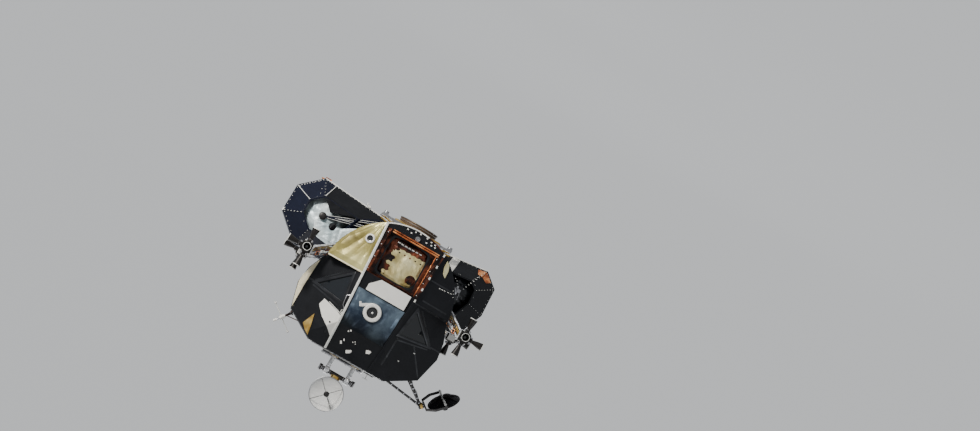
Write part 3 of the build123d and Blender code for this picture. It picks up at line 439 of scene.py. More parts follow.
# stage: pale floor well below the bell, pale world, soft lamps
stageSet = {"floorZ": -4.6, "floorHalf": 190.0, "pale": (0.66, 0.675, 0.69), "worldLight": 0.36,
            "plainShare": 0.90}


def rayMaximum(tree, rays):
    # 1 for what the camera sees itself, in metal or through glass, and 0 for light on the object
    seen = mathNode(tree, "MAXIMUM", rays.outputs["Is Camera Ray"], rays.outputs["Is Transmission Ray"])
    return mathNode(tree, "MAXIMUM", seen, rays.outputs["Is Glossy Ray"])


def makeStage(s):
    half, z = s["floorHalf"], s["floorZ"]
    mesh = bpy.data.meshes.new("floor")
    mesh.from_pydata([(-half, -half, z), (half, -half, z), (half, half, z), (-half, half, z)], [], [(0, 1, 2, 3)])
    floor = bpy.data.objects.new("floor", mesh)
    bpy.context.scene.collection.objects.link(floor)
    # the floor shows mostly its own pale colour, and the rest of its look keeps the object's shadow
    mat, tree, shader = material("floorPaint", color=s["pale"], rough=0.9)
    plain = tree.nodes.new("ShaderNodeEmission")
    plain.inputs["Color"].default_value = (*s["pale"], 1)
    seenBy = tree.nodes.new("ShaderNodeLightPath")
    share = mathNode(tree, "MULTIPLY", rayMaximum(tree, seenBy), s["plainShare"])
    blend = tree.nodes.new("ShaderNodeMixShader")
    tree.links.new(share, blend.inputs["Fac"])
    tree.links.new(shader.outputs[0], blend.inputs[1])
    tree.links.new(plain.outputs[0], blend.inputs[2])
    tree.links.new(blend.outputs[0], tree.nodes["Material Output"].inputs["Surface"])
    mesh.materials.append(mat)
    world = bpy.data.worlds.new("paleWorld")
    bpy.context.scene.world = world
    world.use_nodes = True
    wt = world.node_tree
    soft = wt.nodes["Background"]
    soft.inputs["Color"].default_value = (1, 1, 1, 1)
    soft.inputs["Strength"].default_value = s["worldLight"]
    seen = wt.nodes.new("ShaderNodeBackground")
    seen.inputs["Color"].default_value = (*s["pale"], 1)
    # what is seen beyond the floor's edge matches the floor's own brightness there
    seen.inputs["Strength"].default_value = s["plainShare"] + (1 - s["plainShare"]) * s["worldLight"]
    rays = wt.nodes.new("ShaderNodeLightPath")
    mix = wt.nodes.new("ShaderNodeMixShader")
    wt.links.new(rayMaximum(wt, rays), mix.inputs["Fac"])
    wt.links.new(soft.outputs[0], mix.inputs[1])
    wt.links.new(seen.outputs[0], mix.inputs[2])
    wt.links.new(mix.outputs[0], wt.nodes["World Output"].inputs["Surface"])


def makeLamp(name, place, aim, size, watts, color=(1, 1, 1)):
    data = bpy.data.lights.new(name, "AREA")
    data.size, data.energy, data.color = size, watts, color
    lamp = bpy.data.objects.new(name, data)
    bpy.context.scene.collection.objects.link(lamp)
    lamp.location = place
    lamp.rotation_mode = "QUATERNION"
    lamp.rotation_quaternion = (Vector(aim) - Vector(place)).to_track_quat("-Z", "Y")


makeStage(stageSet)
middle = (0, 0, 1.4)
makeLamp("key", (7.6, -7.8, -2.9), middle, 2.2, 1500, (1.0, 0.97, 0.92))
makeLamp("fill", (-9.0, -7.0, 6.0), middle, 7.0, 300, (0.93, 0.96, 1.0))
makeLamp("top", (1.0, 3.0, 11.0), middle, 8.0, 520)
makeLamp("rear", (-4.0, 11.0, 5.0), middle, 6.0, 450)
print("camera, floor and lamps set")

# the front: strip, quarter panels and window panels, as surfaces of x and h
brow = {"foot": 0.900, "top": 1.440, "back": 0.400}


def browY(h):
    return faceY + brow["back"] * np.clip(np.asarray(h, float) - brow["foot"], 0, 1) / (brow["top"] - brow["foot"])


def panelY(x, h, lean):
    # the panel's plane runs back from the strip's edge by lean for each metre outboard
    out = np.clip(np.abs(x) - stripEdge(h), 0, 9)
    return np.maximum(faceY + lean * out, browY(h))


def frontPoints(x, h, lean, lift):
    # points on the front, lifted square to the panel; lift may be an array
    side = np.sign(x)
    tilt = math.hypot(1, lean)
    on = np.abs(x) > stripEdge(h)
    nx = np.where(on, side * lean / tilt, 0)
    ny = np.where(on, -1 / tilt, -1)
    y = panelY(x, h, lean)
    return np.stack([x + nx * lift, y + ny * lift, thrusterZ + h], -1)


def frontSheet(hs, inner, outer, lean, seed, size, depth, base, side=1, fade=10.0):
    # rows run up in h, columns from the inner edge to the outer; creases fade out at the border
    v, u = np.meshgrid(np.linspace(0, 1, hs[2]), np.linspace(0, 1, hs[3]), indexing="ij")
    h = hs[0] + (hs[1] - hs[0]) * v
    a, b = inner(h), outer(h)
    x = side * (a + (b - a) * u)
    edge = np.clip(np.minimum(np.minimum(u, 1 - u), np.minimum(v, 1 - v)) * fade, 0, 1)
    crumple = folds(x, h, seed, size * 1.6, depth * 0.8, 3) + depth * 0.8
    lift = base + (crumple + gathered(x, h, (0.62, -1.20), (1.6, 2.9, 5.3), depth, seed)) * edge
    pts = frontPoints(x, h, lean, lift)
    pts = pts if side > 0 else pts[:, ::-1]
    return shellBit(pts, (0, base + 0.001, 0))


amberQuarter = {"h": (-1.112, -0.108, 150, 190), "gap": 0.024, "seed": 7, "size": 0.42, "depth": 0.013}


def gathered(x, h, anchor, count, depth, seed):
    # folds that spread like a fan from an anchor point, and fade close to it
    rng = np.random.default_rng(seed)
    turn = np.arctan2(h - anchor[1], x - anchor[0])
    reach = np.hypot(x - anchor[0], h - anchor[1])
    out = 0
    for k in range(3):
        wave = np.abs(((turn * count[k] + 0.25 * np.sin(reach * rng.uniform(3, 8) + rng.uniform(0, 6))
                        + rng.uniform(0, 1)) % 1.0) - 0.5) * 2
        out = out + (1 - wave ** 1.5) * depth / 1.7 ** k
    return out * np.clip(reach * 3, 0, 1)


def makeQuarterBlanket(s):
    piece = frontSheet(s["h"], lambda h: stripEdge(h) + s["gap"],
                       lambda h: np.sqrt(cabinR ** 2 - h ** 2) - 0.008, 0.35, s["seed"], s["size"], s["depth"], 0.004)
    makePiece("quarter_blanket_port", [piece], amberFoil, smooth=True)
    # small vent near the blanket's lower edge: white collar round a dark hole
    ventX, ventH = 0.73, -0.71
    foot = frontPoints(np.array([ventX]), np.array([ventH]), 0.35, 0.044)[0]
    normal = (0.33, -0.94, 0)
    collar = [(0.056, -0.040), (0.058, -0.002), (0.064, 0.004), (0.084, 0.002), (0.090, -0.006), (0.092, -0.040),
              (0.056, -0.040)]
    hole = [(0.0, -0.010), (0.040, -0.010), (0.046, 0.004), (0.056, 0.006), (0.060, 0.0), (0.060, -0.040), (0.0, -0.040)]
    makePiece("quarter_vent_ring", [latheBit(collar, foot, normal, 40)], whitePaint, smooth=True)
    makePiece("quarter_vent_hole", [latheBit(hole[::-1], foot, normal, 36)], lampBlack, smooth=True)


makeQuarterBlanket(amberQuarter)

# hatch face: crumpled blanket, cream over most of it and dark towards port and the foot, where the dark is painted
# shadow
hatchSet = {"centre": -0.620, "half": 0.378, "front": -1.7310, "seed": 21, "size": 0.24, "depth": 0.016}


def makeHatch(s):
    n = 150
    v, u = np.meshgrid(np.linspace(-1, 1, n), np.linspace(-1, 1, n), indexing="ij")
    # rounded square: the square's edge is pulled in at its corners
    squeeze = 1 - 0.10 * (np.abs(u) * np.abs(v)) ** 3
    x, h = u * s["half"] * squeeze, s["centre"] + v * s["half"] * squeeze
    edge = np.clip((1 - np.maximum(np.abs(u), np.abs(v))) * 9, 0, 1)
    lift = 0.002 + (folds(x, h, s["seed"], s["size"] * 1.5, s["depth"], 4) + s["depth"]) * edge
    pts = np.stack([x, s["front"] - lift, thrusterZ + h], -1)
    blanket = makePiece("hatch_blanket", [shellBit(pts, (0, 0.0025, 0))], creamFoil, "forward_hatch",
                        smooth=True)
    blanket.data.materials.append(shadedCopperFoil)
    # faces towards port and the foot take the dark copper film as painted shadow, with a wavy border
    centres = np.array([p.center for p in blanket.data.polygons])
    shadowWobble = 0.05 * np.sin(centres[:, 2] * 31) + 0.03 * np.sin(centres[:, 2] * 73 + 1) + 0.03 * np.sin(centres[:, 0] * 57)
    dark = (centres[:, 0] > 0.215 + shadowWobble) | (centres[:, 2] - thrusterZ < -0.80 + shadowWobble * 0.8)
    blanket.data.polygons.foreach_set("material_index", dark.astype(np.int32))
    # dump valve near the hatch's upper starboard corner, and the handle's guard
    valve = [(0.0, 0.034), (0.030, 0.034), (0.036, 0.026), (0.070, 0.024), (0.078, 0.012), (0.096, 0.010),
             (0.100, 0.0), (0.0, 0.0)]
    place = (-0.285, s["front"] - 0.012, thrusterZ - 0.400)
    bits = [latheBit(valve[::-1], place, (0, -1, 0), 40)]
    for k in range(6):
        a = k * pi / 3
        bits.append(boxBit(np.array(place) + (0.052 * math.cos(a), -0.026, 0.052 * math.sin(a)),
                           (0.034, 0.010, 0.010), (math.cos(a), 0, math.sin(a)), (-math.sin(a), 0, math.cos(a))))
    makePiece("hatch_valve", bits, shadedCopperFoil, "forward_hatch", smooth=True)
    guard = [(0.05 + 0.13 * math.cos(t), s["front"] - 0.012 - 0.030 * math.sin(t) ** 0.5, thrusterZ - 0.90)
             for t in np.linspace(0, pi, 15)]
    makePiece("hatch_handle", [tubeBit(guard, 0.008, 8)], bareMetal, "forward_hatch", smooth=True)


makeHatch(hatchSet)

# recess: creased copper film on its four walls and round its mouth, with bright rivets
recess = {"half": 0.476, "low": -1.036, "high": -0.184, "front": -1.902, "back": -1.742}


def makeRecess(s):
    n = 60
    walls = []
    corners = [(s["half"], s["low"]), (s["half"], s["high"]), (-s["half"], s["high"]), (-s["half"], s["low"])]
    for k in range(4):
        (x0, h0), (x1, h1) = corners[k], corners[(k + 1) % 4]
        t, d = np.meshgrid(np.linspace(0, 1, n), np.linspace(0, 1, 14), indexing="ij")
        x, h = x0 + (x1 - x0) * t, h0 + (h1 - h0) * t
        y = s["front"] + 0.003 + (s["back"] - s["front"] - 0.006) * d
        inward = -np.array([h1 - h0, 0, -(x1 - x0)]) / math.hypot(x1 - x0, h1 - h0)
        inward = inward if np.dot(inward, (-x0 - x1, 0, -(h0 + h1) + 2 * (s["low"] + s["high"]) / 2)) > 0 else -inward
        edge = np.clip(np.minimum(t, 1 - t) * 12, 0, 1)
        lift = 0.004 + (folds(x + h, y, 40 + k, 0.12, 0.006) + 0.006) * edge
        pts = np.stack([x, y, thrusterZ + h], -1) + lift[..., None] * inward
        walls.append(shellBit(pts, -inward * 0.003))
    # the lining's nearly black copper film is painted shade inside the recess
    makePiece("recess_lining", walls, shadedCopperFoil, smooth=True)
    # mouth: two strips of film on the face, the starboard one the wider
    strips = []
    for (x0, x1, h0, h1), seed in (((-0.555, -0.478, -1.06, -0.17), 51), ((0.478, 0.545, -1.06, -0.17), 52)):
        rows, cols = (90, 14) if h1 - h0 > x1 - x0 else (14, 110)
        hh, xx = np.meshgrid(np.linspace(h0, h1, rows), np.linspace(x0, x1, cols), indexing="ij")
        lift = 0.003 + folds(xx, hh, seed, 0.10, 0.006) + 0.006
        strips.append(shellBit(np.stack([xx, faceY - lift, thrusterZ + hh], -1), (0, 0.003, 0)))
    makePiece("recess_border", strips, shadedCopperFoil, smooth=True)
    spots = np.concatenate([alongLine(at(x, faceY - 0.012, a), at(x, faceY - 0.012, b), 0.20)
                            for x, a, b in ((-0.515, -1.00, -0.20), (0.512, -1.00, -0.20))])
    makePiece("recess_rivets", [domeBits(spots, (0, -1, 0), 0.009)], edgeTape, smooth=True)
    # bright doubled band along the foot, and a thinner one up the starboard edge
    bands = [tubeBit([at(0.440, faceY - 0.014, -1.030), at(-0.515, faceY - 0.014, -1.030)], 0.015, 10),
             tubeBit([at(0.440, faceY - 0.010, -1.068), at(-0.520, faceY - 0.010, -1.068)], 0.012, 10),
             tubeBit([at(-0.480, faceY - 0.012, -1.030), at(-0.480, faceY - 0.012, -0.180)], 0.009, 10)]
    makePiece("recess_bands", bands, emberFoil, smooth=True)
    dashes = [boxBit(at(x, -1.762, -0.915), (0.052, 0.010, 0.016)) for x in np.linspace(0.235, -0.215, 7)]
    makePiece("hatch_dashes", dashes, edgeTape, "forward_hatch")


makeRecess(recess)


def makeChin():
    # edge bead round the chin, bright to port, small white clips inside it and one round fitting
    t = np.linspace(-pi / 2 + 0.487, -pi / 2 - 0.487, 60)
    arc = np.stack([np.cos(t) * (cabinR - 0.010), np.full_like(t, faceY - 0.004), thrusterZ + np.sin(t) * (cabinR - 0.010)], -1)
    makePiece("chin_bead", [tubeBit(arc[:40], 0.013, 10)], edgeTape, smooth=True)
    makePiece("chin_bead_dark", [tubeBit(arc[39:], 0.012, 10)], shadedCopperFoil, smooth=True)
    places = ((0.134, -1.173), (0.068, -1.225), (-0.031, -1.236), (-0.174, -1.226), (-0.273, -1.205), (-0.196, -1.150),
              (-0.300, -1.152), (-0.378, -1.150), (0.22, -1.20), (-0.36, -1.19))
    clips = [boxBit(at(x, faceY - 0.006, h), (0.030, 0.012, 0.022), (math.cos(x), 0, math.sin(x))) for x, h in places]
    makePiece("chin_clips", clips, whitePaint, bevel=0.0015)
    cup = [(0.0, 0.022), (0.022, 0.024), (0.030, 0.034), (0.040, 0.034), (0.050, 0.022), (0.056, 0.0), (0.0, 0.0)]
    makePiece("chin_fitting", [latheBit(cup[::-1], at(-0.028, faceY, -1.130), (0, -1, 0), 40)], bareMetal, smooth=True)


makeChin()


# brow: silver-blue foil with long soft folds round the tracking light
silverSet = {"h": (0.158, 0.905, 110, 130), "seed": 33, "size": 0.46, "depth": 0.016}


def makeSilver(s):
    v, u = np.meshgrid(np.linspace(0, 1, s["h"][2]), np.linspace(-1, 1, s["h"][3]), indexing="ij")
    h = s["h"][0] + (s["h"][1] - s["h"][0]) * v
    x = -u * (stripEdge(h) - 0.040)
    edge = np.clip(np.minimum(1 - np.abs(u), np.minimum(v, 1 - v) * 2) * 7, 0, 1)
    around = np.hypot(x - 0.03, h - 0.46)
    calm = np.clip((around - 0.16) * 9, 0, 1)
    lift = 0.004 + (folds(x, h, s["seed"], s["size"] * 1.5, s["depth"], 3) + s["depth"]
                    + gathered(x, h, (0.35, 1.15), (1.3, 2.3, 4.1), s["depth"] * 0.8, 5)) * edge * (0.15 + 0.85 * calm)
    pts = np.stack([x, faceY - lift, thrusterZ + h], -1)
    makePiece("brow_blanket", [shellBit(pts[:, ::-1], (0, 0.003, 0))], silverFoil, smooth=True)


makeSilver(silverSet)


def paintShadeUpwards(mat, low, high, keepShare):
    # painted shade: multiplies the foil's colour down from the height low to the height high, with a wavy border
    tree = mat.node_tree
    shader = next(n for n in tree.nodes if n.type == "BSDF_PRINCIPLED")
    link = shader.inputs["Base Color"].links[0]
    where = objectCoords(tree)
    split = tree.nodes.new("ShaderNodeSeparateXYZ")
    tree.links.new(where, split.inputs[0])
    wave = noiseNode(tree, where, 2.0, 3)
    level = mathNode(tree, "ADD", split.outputs["Z"], mathNode(tree, "MULTIPLY", wave.outputs["Fac"], 0.30))
    share = mathNode(tree, "DIVIDE", mathNode(tree, "SUBTRACT", level, low + 0.15), high - low)
    shade = rampNode(tree, share, ((0.0, (1, 1, 1)), (1.0, (keepShare,) * 3)))
    tree.links.new(mixColor(tree, 1.0, link.from_socket, shade, "MULTIPLY"), shader.inputs["Base Color"])


# painted shade on the brow foil, darker towards its top
paintShadeUpwards(silverFoil, thrusterZ + 0.50, thrusterZ + 0.86, 0.10)

# tracking light: turned white housing with a dark lens, and the bracket at its upper port side
lightSet = {"x": 0.030, "h": 0.460, "outer": 0.172, "inner": 0.102}


def makeLight(s):
    o, i = s["outer"], s["inner"]
    ring = [(i, 0.030), (i + 0.004, 0.070), (i + 0.014, 0.080), (o - 0.014, 0.080), (o - 0.003, 0.070), (o, 0.058),
            (o, 0.004), (i, 0.004), (i, 0.030)]
    place = at(s["x"], faceY, s["h"])
    makePiece("tracking_light_housing", [latheBit(ring, place, (0, -1, 0), 72)], whitePaint,
              replace=("tracking_light",), smooth=True)
    lens = [(0.0, 0.052), (i * 0.30, 0.051), (i * 0.6, 0.046), (i * 0.85, 0.036), (i, 0.030), (i, 0.004), (0.0, 0.004)]
    highlightKnob = [(0.0, 0.066), (0.014, 0.065), (0.020, 0.058), (0.020, 0.050), (0.0, 0.050)]
    makePiece("tracking_light_lens", [latheBit(lens, place, (0, -1, 0), 48)], lampBlack, smooth=True)
    # white knob in the lens centre: a painted highlight on the dark lens
    makePiece("tracking_light_highlight", [latheBit(highlightKnob, place, (0, -1, 0), 24)], whitePaint, smooth=True)
    tilt = np.array([0.868, 0, 0.497])
    root = at(s["x"] + 0.070, faceY - 0.036, s["h"] - 0.132)
    bits = [boxBit(root + tilt * 0.110, (0.250, 0.050, 0.058), tilt, (0.497, 0, -0.868)),
            boxBit(root + tilt * 0.222 + (0.010, 0.006, -0.018), (0.040, 0.056, 0.086), tilt, (0.497, 0, -0.868))]
    spots = [root + tilt * k + (0, -0.026, 0) for k in (0.13, 0.17, 0.21)]
    bits.append(domeBits(spots, (0, -1, 0), 0.007))
    makePiece("tracking_light_bracket", bits, whitePaint, bevel=0.002)


makeLight(lightSet)

# beams along the strip's edges: bright on the port side, a white that is painted light, copper with bright clips to
# starboard and black above that as painted shade
beamSet = {"wide": 0.044, "deep": 0.030}


def makeBeams(s):
    def edgePath(side):
        hs = np.array([-1.125, -0.6, -0.1, 0.4, 0.9, 1.17, 1.43])
        return np.stack([side * stripEdge(hs), browY(hs) - 0.016, thrusterZ + hs], -1)

    def bar(path, wide, deep):
        # flat bar: a rectangle with cut corners carried along the path
        ahead, _, _ = frameAlong(path)
        across = np.cross(ahead, (0, -1, 0))
        across /= np.linalg.norm(across, axis=1)[:, None]
        over = np.cross(across, ahead)
        c = 0.22
        ring = np.array([(1, 1 - c), (1 - c, 1), (c - 1, 1), (-1, 1 - c), (-1, c - 1), (c - 1, -1), (1 - c, -1), (1, c - 1)])
        pts = path[:, None] + across[:, None] * ring[None, :, :1] * wide / 2 + over[:, None] * ring[None, :, 1:] * deep / 2
        pts, faces = gridBit(pts, closeV=True)
        last = (len(path) - 1) * 8
        return pts, faces + [list(range(8))[::-1], [last + k for k in range(8)]]

    port, starboard = edgePath(1), edgePath(-1)
    makePiece("edge_beam_port", [bar(port, s["wide"], s["deep"])], edgeTape, smooth=True)
    makePiece("edge_beam_starboard", [bar(starboard[:3], s["wide"] * 0.8, s["deep"])], shadedCopperFoil,
              smooth=True)
    # upper starboard beam in black: painted shade
    makePiece("edge_beam_starboard_shade", [bar(starboard[2:], s["wide"] * 0.8, s["deep"])], blackSkin,
              smooth=True)
    crease = np.array([at(x, float(panelY(x, -0.1, 0.35)) - 0.004, -0.096) for x in np.linspace(0.56, 1.262, 8)])
    makePiece("crease_beam_port", [bar(crease, 0.026, 0.016)], creamPaint, smooth=True)
    clips = [boxBit(p + (0, -0.018, 0), (0.030, 0.012, 0.052)) for p in alongLine(starboard[0], starboard[2], 0.24)]
    makePiece("edge_clips_starboard", clips, edgeTape)
    heads = [alongLine(port[k] + (0, -0.016, 0), port[k + 1] + (0, -0.016, 0), 0.09) for k in range(6)]
    makePiece("edge_rivets_port", [domeBits(np.concatenate(heads), (0, -1, 0), 0.0065)], bareMetal, smooth=True)


makeBeams(beamSet)

# pale facings of the port window panel: the blade, the shoulder triangle and the narrow side facet; the blade and the
# side facet are pale as painted light, where light fell on them
facings = {
    "window_blade_lit": (whitePaint, ((0.904, 0.655), (0.942, 0.793), (0.792, 0.961), (0.595, 1.102), (0.478, 1.205),
                                  (0.478, 0.800), (0.620, 0.735))),
    "shoulder_patch": (goldFoil, ((0.927, 0.985), (1.028, 1.235), (0.940, 1.330), (0.842, 1.391), (0.877, 1.200))),
    "side_facet_lit": (creamPaint, ((1.322, 0.06), (1.40, 0.215), (1.462, 0.46), (1.472, 0.60), (1.405, 0.88),
                                (1.352, 1.08), (1.350, 0.60))),
}


def crossings(outline, h):
    # x where a horizontal line meets the outline
    found = []
    for (x0, h0), (x1, h1) in zip(outline, outline[1:] + outline[:1]):
        if min(h0, h1) <= h <= max(h0, h1) and h0 != h1:
            found.append(x0 + (x1 - x0) * (h - h0) / (h1 - h0))
    return min(found), max(found)


def makeFacings(table):
    for name, (mat, outline) in table.items():
        low, high = min(h for _, h in outline), max(h for _, h in outline)
        hs = np.linspace(low + 0.002, high - 0.002, 60)
        ends = np.array([crossings(outline, h) for h in hs])
        x = ends[:, :1] + (ends[:, 1:] - ends[:, :1]) * np.linspace(0, 1, 24)
        h = np.repeat(hs[:, None], 24, 1)
        pts = frontPoints(x, h, 0.75, np.full_like(x, 0.012))
        makePiece(name, [shellBit(pts, (0, 0.008, 0))], mat, smooth=True)
    # the blade's dark oval and doubled edge, a hook at the beam and the handrail beside the window
    spot = frontPoints(np.array([0.611]), np.array([0.983]), 0.75, 0.012)[0]
    oval = [(0.0, 0.004), (0.018, 0.004), (0.022, 0.0), (0.022, -0.004), (0.0, -0.004)]
    makePiece("blade_oval", [latheBit(oval[::-1], spot, (0.6, -0.78, -0.15), 24)], lampBlack, smooth=True)
    edge = frontPoints(np.linspace(0.80, 0.50, 12), np.linspace(0.665, 0.765, 12), 0.75, np.full(12, 0.010))
    hook = frontPoints(np.array([0.500, 0.525, 0.535, 0.520]), np.array([0.735, 0.725, 0.700, 0.675]), 0.75, np.full(4, 0.020))
    makePiece("blade_edge", [tubeBit(edge, 0.006, 8), tubeBit(hook, 0.007, 8)], edgeTape, smooth=True)
    rail = frontPoints(np.array([0.505, 0.569, 0.560, 0.550, 0.505]), np.array([0.360, 0.405, 0.50, 0.590, 0.655]), 0.75,
                       np.array([0.004, 0.034, 0.038, 0.034, 0.004]))
    makePiece("window_handrail", [tubeBit(rail, 0.007, 8)], bareMetal, smooth=True)


makeFacings(facings)
print("front made")

# tank bays: edge beading, rivet rows and the tanks' crumpled blankets
fuelBay = {"name": "fuel", "tankX": 1.690, "outline": ((0.520, -1.225), (1.980, -1.345), (2.385, -0.980),
                                                       (2.400, -0.440), (1.900, 0.010), (1.000, 0.010))}
oxidizerBay = {"name": "oxidizer", "tankX": -1.140, "outline": ((-0.520, -1.225), (-1.530, -1.350), (-1.815, -1.110),
                                                                (-1.840, -0.560), (-1.610, 0.0), (-1.000, 0.010))}
bayCommon = {"tankH": -0.690, "tankR": 0.590, "flatY": 0.300, "rimY": 0.665, "share": 0.52, "bodyX": 0.565}


def bayCorners(s, common, end):
    # outer corners on the flat part's edge and inner corners on the rim, end is -1 in front and 1 aft
    outer = np.array([at(x, end * common["flatY"], h) for x, h in s["outline"]])
    centre = at(s["tankX"], 0, common["tankH"])
    inner = centre + (outer - centre) * common["share"]
    inner[:, 1] = end * common["rimY"]
    return outer, inner


def clipToBody(a, b, side, limit):
    # shortens a line that would run on past the shield's edge towards the body
    if side * b[0] < limit < side * a[0]:
        return a, a + (b - a) * (limit - side * a[0]) / (side * b[0] - side * a[0])
    if side * a[0] < limit < side * b[0]:
        return b + (a - b) * (limit - side * b[0]) / (side * a[0] - side * b[0]), b
    return a, b


def makeBayTrim(s, common, tape, plain, bead, bright, dots):
    # bright names the outer edges and ridges that carry the pale tape; the others carry the plain one
    side = 1 if s["tankX"] > 0 else -1
    beads, dull, heads = [], [], []
    for end in (-1, 1):
        outer, inner = bayCorners(s, common, end)
        out = np.array([0, end, 0.0])
        for k in range(5):
            a, b = clipToBody(outer[k], outer[k + 1], side, common["bodyX"])
            (beads if ("edge", k) in bright else dull).append(tubeBit([a, b], bead * bright.get(("edge", k), 0.8), 8))
            mid = (inner[k] + inner[k + 1]) / 2
            lift = np.cross(b - a, mid - a)
            lift /= np.linalg.norm(lift)
            lift = lift if lift[1] * end > 0 else -lift
            inward = (mid - (a + b) / 2) / np.linalg.norm(mid - (a + b) / 2)
            row = alongLine(a + inward * 0.030, b + inward * 0.030, 0.085, 0.05)
            heads.append(domeBits(row + lift * 0.001, lift, 0.0075))
            c, d = inner[k] + out * 0.001, inner[k + 1] + out * 0.001
            dull.append(tubeBit([c, d], bead * 0.8, 8))
            heads.append(domeBits(alongLine(a + (mid - a) * 0.93, b + (mid - b) * 0.93, 0.07), lift, 0.005))
        for k in range(1, 5):
            (beads if ("ridge", k) in bright else dull).append(tubeBit([outer[k], inner[k]], bead * 0.75, 8))
            heads.append(domeBits(alongLine(outer[k] + (inner[k] - outer[k]) * 0.05 + out * 0.012, inner[k] + out * 0.012,
                                            0.075), out, 0.006))
    for k in range(1, 5):
        x, h = s["outline"][k]
        dull.append(tubeBit([at(x, -common["flatY"], h), at(x, common["flatY"], h)], bead * 0.75, 8))
    makePiece(s["name"] + "_bay_beading", beads, tape, smooth=True)
    makePiece(s["name"] + "_bay_dark_beading", dull, plain, smooth=True)
    makePiece(s["name"] + "_bay_rivets", heads, dots, smooth=True)


makeBayTrim(fuelBay, bayCommon, edgeTape, navySkin, 0.0085, {("edge", 0): 1.5, ("ridge", 2): 1.0}, edgeTape)
makeBayTrim(oxidizerBay, bayCommon, edgeTape, blackSkin, 0.0065, {("edge", 0): 2.0}, edgeTape)


def makeTankBlanket(s, common, mat, seed, depth):
    # sphere pulled in and out by creases; it stays between the tank and its shield
    n, m = 120, 150
    turn, rise = np.meshgrid(np.linspace(0, 2 * pi, m, endpoint=False), np.linspace(-pi / 2, pi / 2, n), indexing="ij")
    x, y, z = np.cos(rise) * np.cos(turn), np.cos(rise) * np.sin(turn), np.sin(rise)
    crumple = folds(x * 1.2 + y * 0.4, z * 1.2, seed, 0.62, depth, 5) + folds(y - z, x, seed + 1, 0.85, depth * 0.8, 3)
    radius = common["tankR"] + np.clip(crumple, -depth * 1.4, depth * 1.1) * np.cos(rise) ** 0.5
    centre = at(s["tankX"], 0, common["tankH"])
    pts = np.stack([x, y, z], -1) * radius[..., None] + centre
    makePiece(s["name"] + "_tank_blanket", [gridBit(pts, closeU=True)], mat, replace=(s["name"] + "_tank",),
              smooth=True)


makeTankBlanket(fuelBay, bayCommon, tankFoil, 61, 0.020)
# the oxidizer tank's blanket is black as painted shade, where it lay in shadow
makeTankBlanket(oxidizerBay, bayCommon, blackFoil, 64, 0.020)


def makeTankFittings(s, common):
    side = 1 if s["tankX"] > 0 else -1
    boss = [(0.0, 0.030), (0.050, 0.030), (0.060, 0.024), (0.062, 0.004), (0.074, 0.002), (0.074, -0.030), (0.0, -0.030)]
    makePiece(s["name"] + "_tank_boss", [latheBit(boss[::-1], at(s["tankX"], -0.632, common["tankH"]), (0, -1, 0), 40)],
              darkMetal if side > 0 else bareMetal, smooth=True)
    # dark filler port, an oval in the blanket beside the boss
    oval = [(0.0, 0.014), (0.060, 0.012), (0.082, 0.0), (0.082, -0.03), (0.0, -0.03)]
    reach = np.array([-0.43 * side, -0.88, 0.15])
    reach /= np.linalg.norm(reach)
    makePiece(s["name"] + "_tank_port",
              [latheBit(oval[::-1], at(s["tankX"], 0, common["tankH"]) + reach * (common["tankR"] + 0.012), reach, 32)],
              lampBlack, smooth=True)


makeTankFittings(fuelBay, bayCommon)
makeTankFittings(oxidizerBay, bayCommon)


def baySurface(s, common, x, h):
    # front of a bay's shield: flat inside its rim, then slanted back towards its outline
    x, h = np.asarray(x, float), np.asarray(h, float)
    centre = np.array([s["tankX"], common["tankH"]])
    outline = np.array(s["outline"])
    share = np.zeros(x.shape)
    for k in range(5):
        a, b = outline[k], outline[k + 1]
        n = np.array([b[1] - a[1], a[0] - b[0]])
        n = n if np.dot(n, a - centre) > 0 else -n
        share = np.maximum(share, ((x - centre[0]) * n[0] + (h - centre[1]) * n[1]) / np.dot(n, a - centre))
    back = np.clip((share - common["share"]) / (1 - common["share"]), 0, 1)
    return -common["rimY"] + back * (common["rimY"] - common["flatY"])


def baySheet(s, common, corners, seed, depth, lift, n=34):
    # four-cornered film laid over a bay's front; its corners are x and h, in order round it
    v, u = np.meshgrid(np.linspace(0, 1, n), np.linspace(0, 1, n), indexing="ij")
    c = np.array(corners)
    flat = ((c[0] * (1 - u[..., None]) + c[1] * u[..., None]) * (1 - v[..., None])
            + (c[3] * (1 - u[..., None]) + c[2] * u[..., None]) * v[..., None])
    edge = np.clip(np.minimum(np.minimum(u, 1 - u), np.minimum(v, 1 - v)) * 8, 0, 1)
    rough = (folds(flat[..., 0], flat[..., 1], seed, 0.30, depth, 4) + depth) * edge
    y = baySurface(s, common, flat[..., 0], flat[..., 1]) - lift - rough
    pts = np.stack([flat[..., 0], y, thrusterZ + flat[..., 1]], -1)
    facing = np.cross(c[1] - c[0], c[3] - c[0])
    return shellBit(pts if facing > 0 else pts[:, ::-1], (0, 0.003, 0))


def dashLine(s, common, a, b, pitch, size, lift):
    a, b = np.asarray(a, float), np.asarray(b, float)
    along = (b - a) / np.linalg.norm(b - a)
    spots = alongLine(np.append(a, 0), np.append(b, 0), pitch)
    y = baySurface(s, common, spots[:, 0], spots[:, 1]) - lift
    return [boxBit(at(p[0], q, p[1]), (size, 0.008, 0.010), (along[0], 0, along[1])) for p, q in zip(spots, y)]


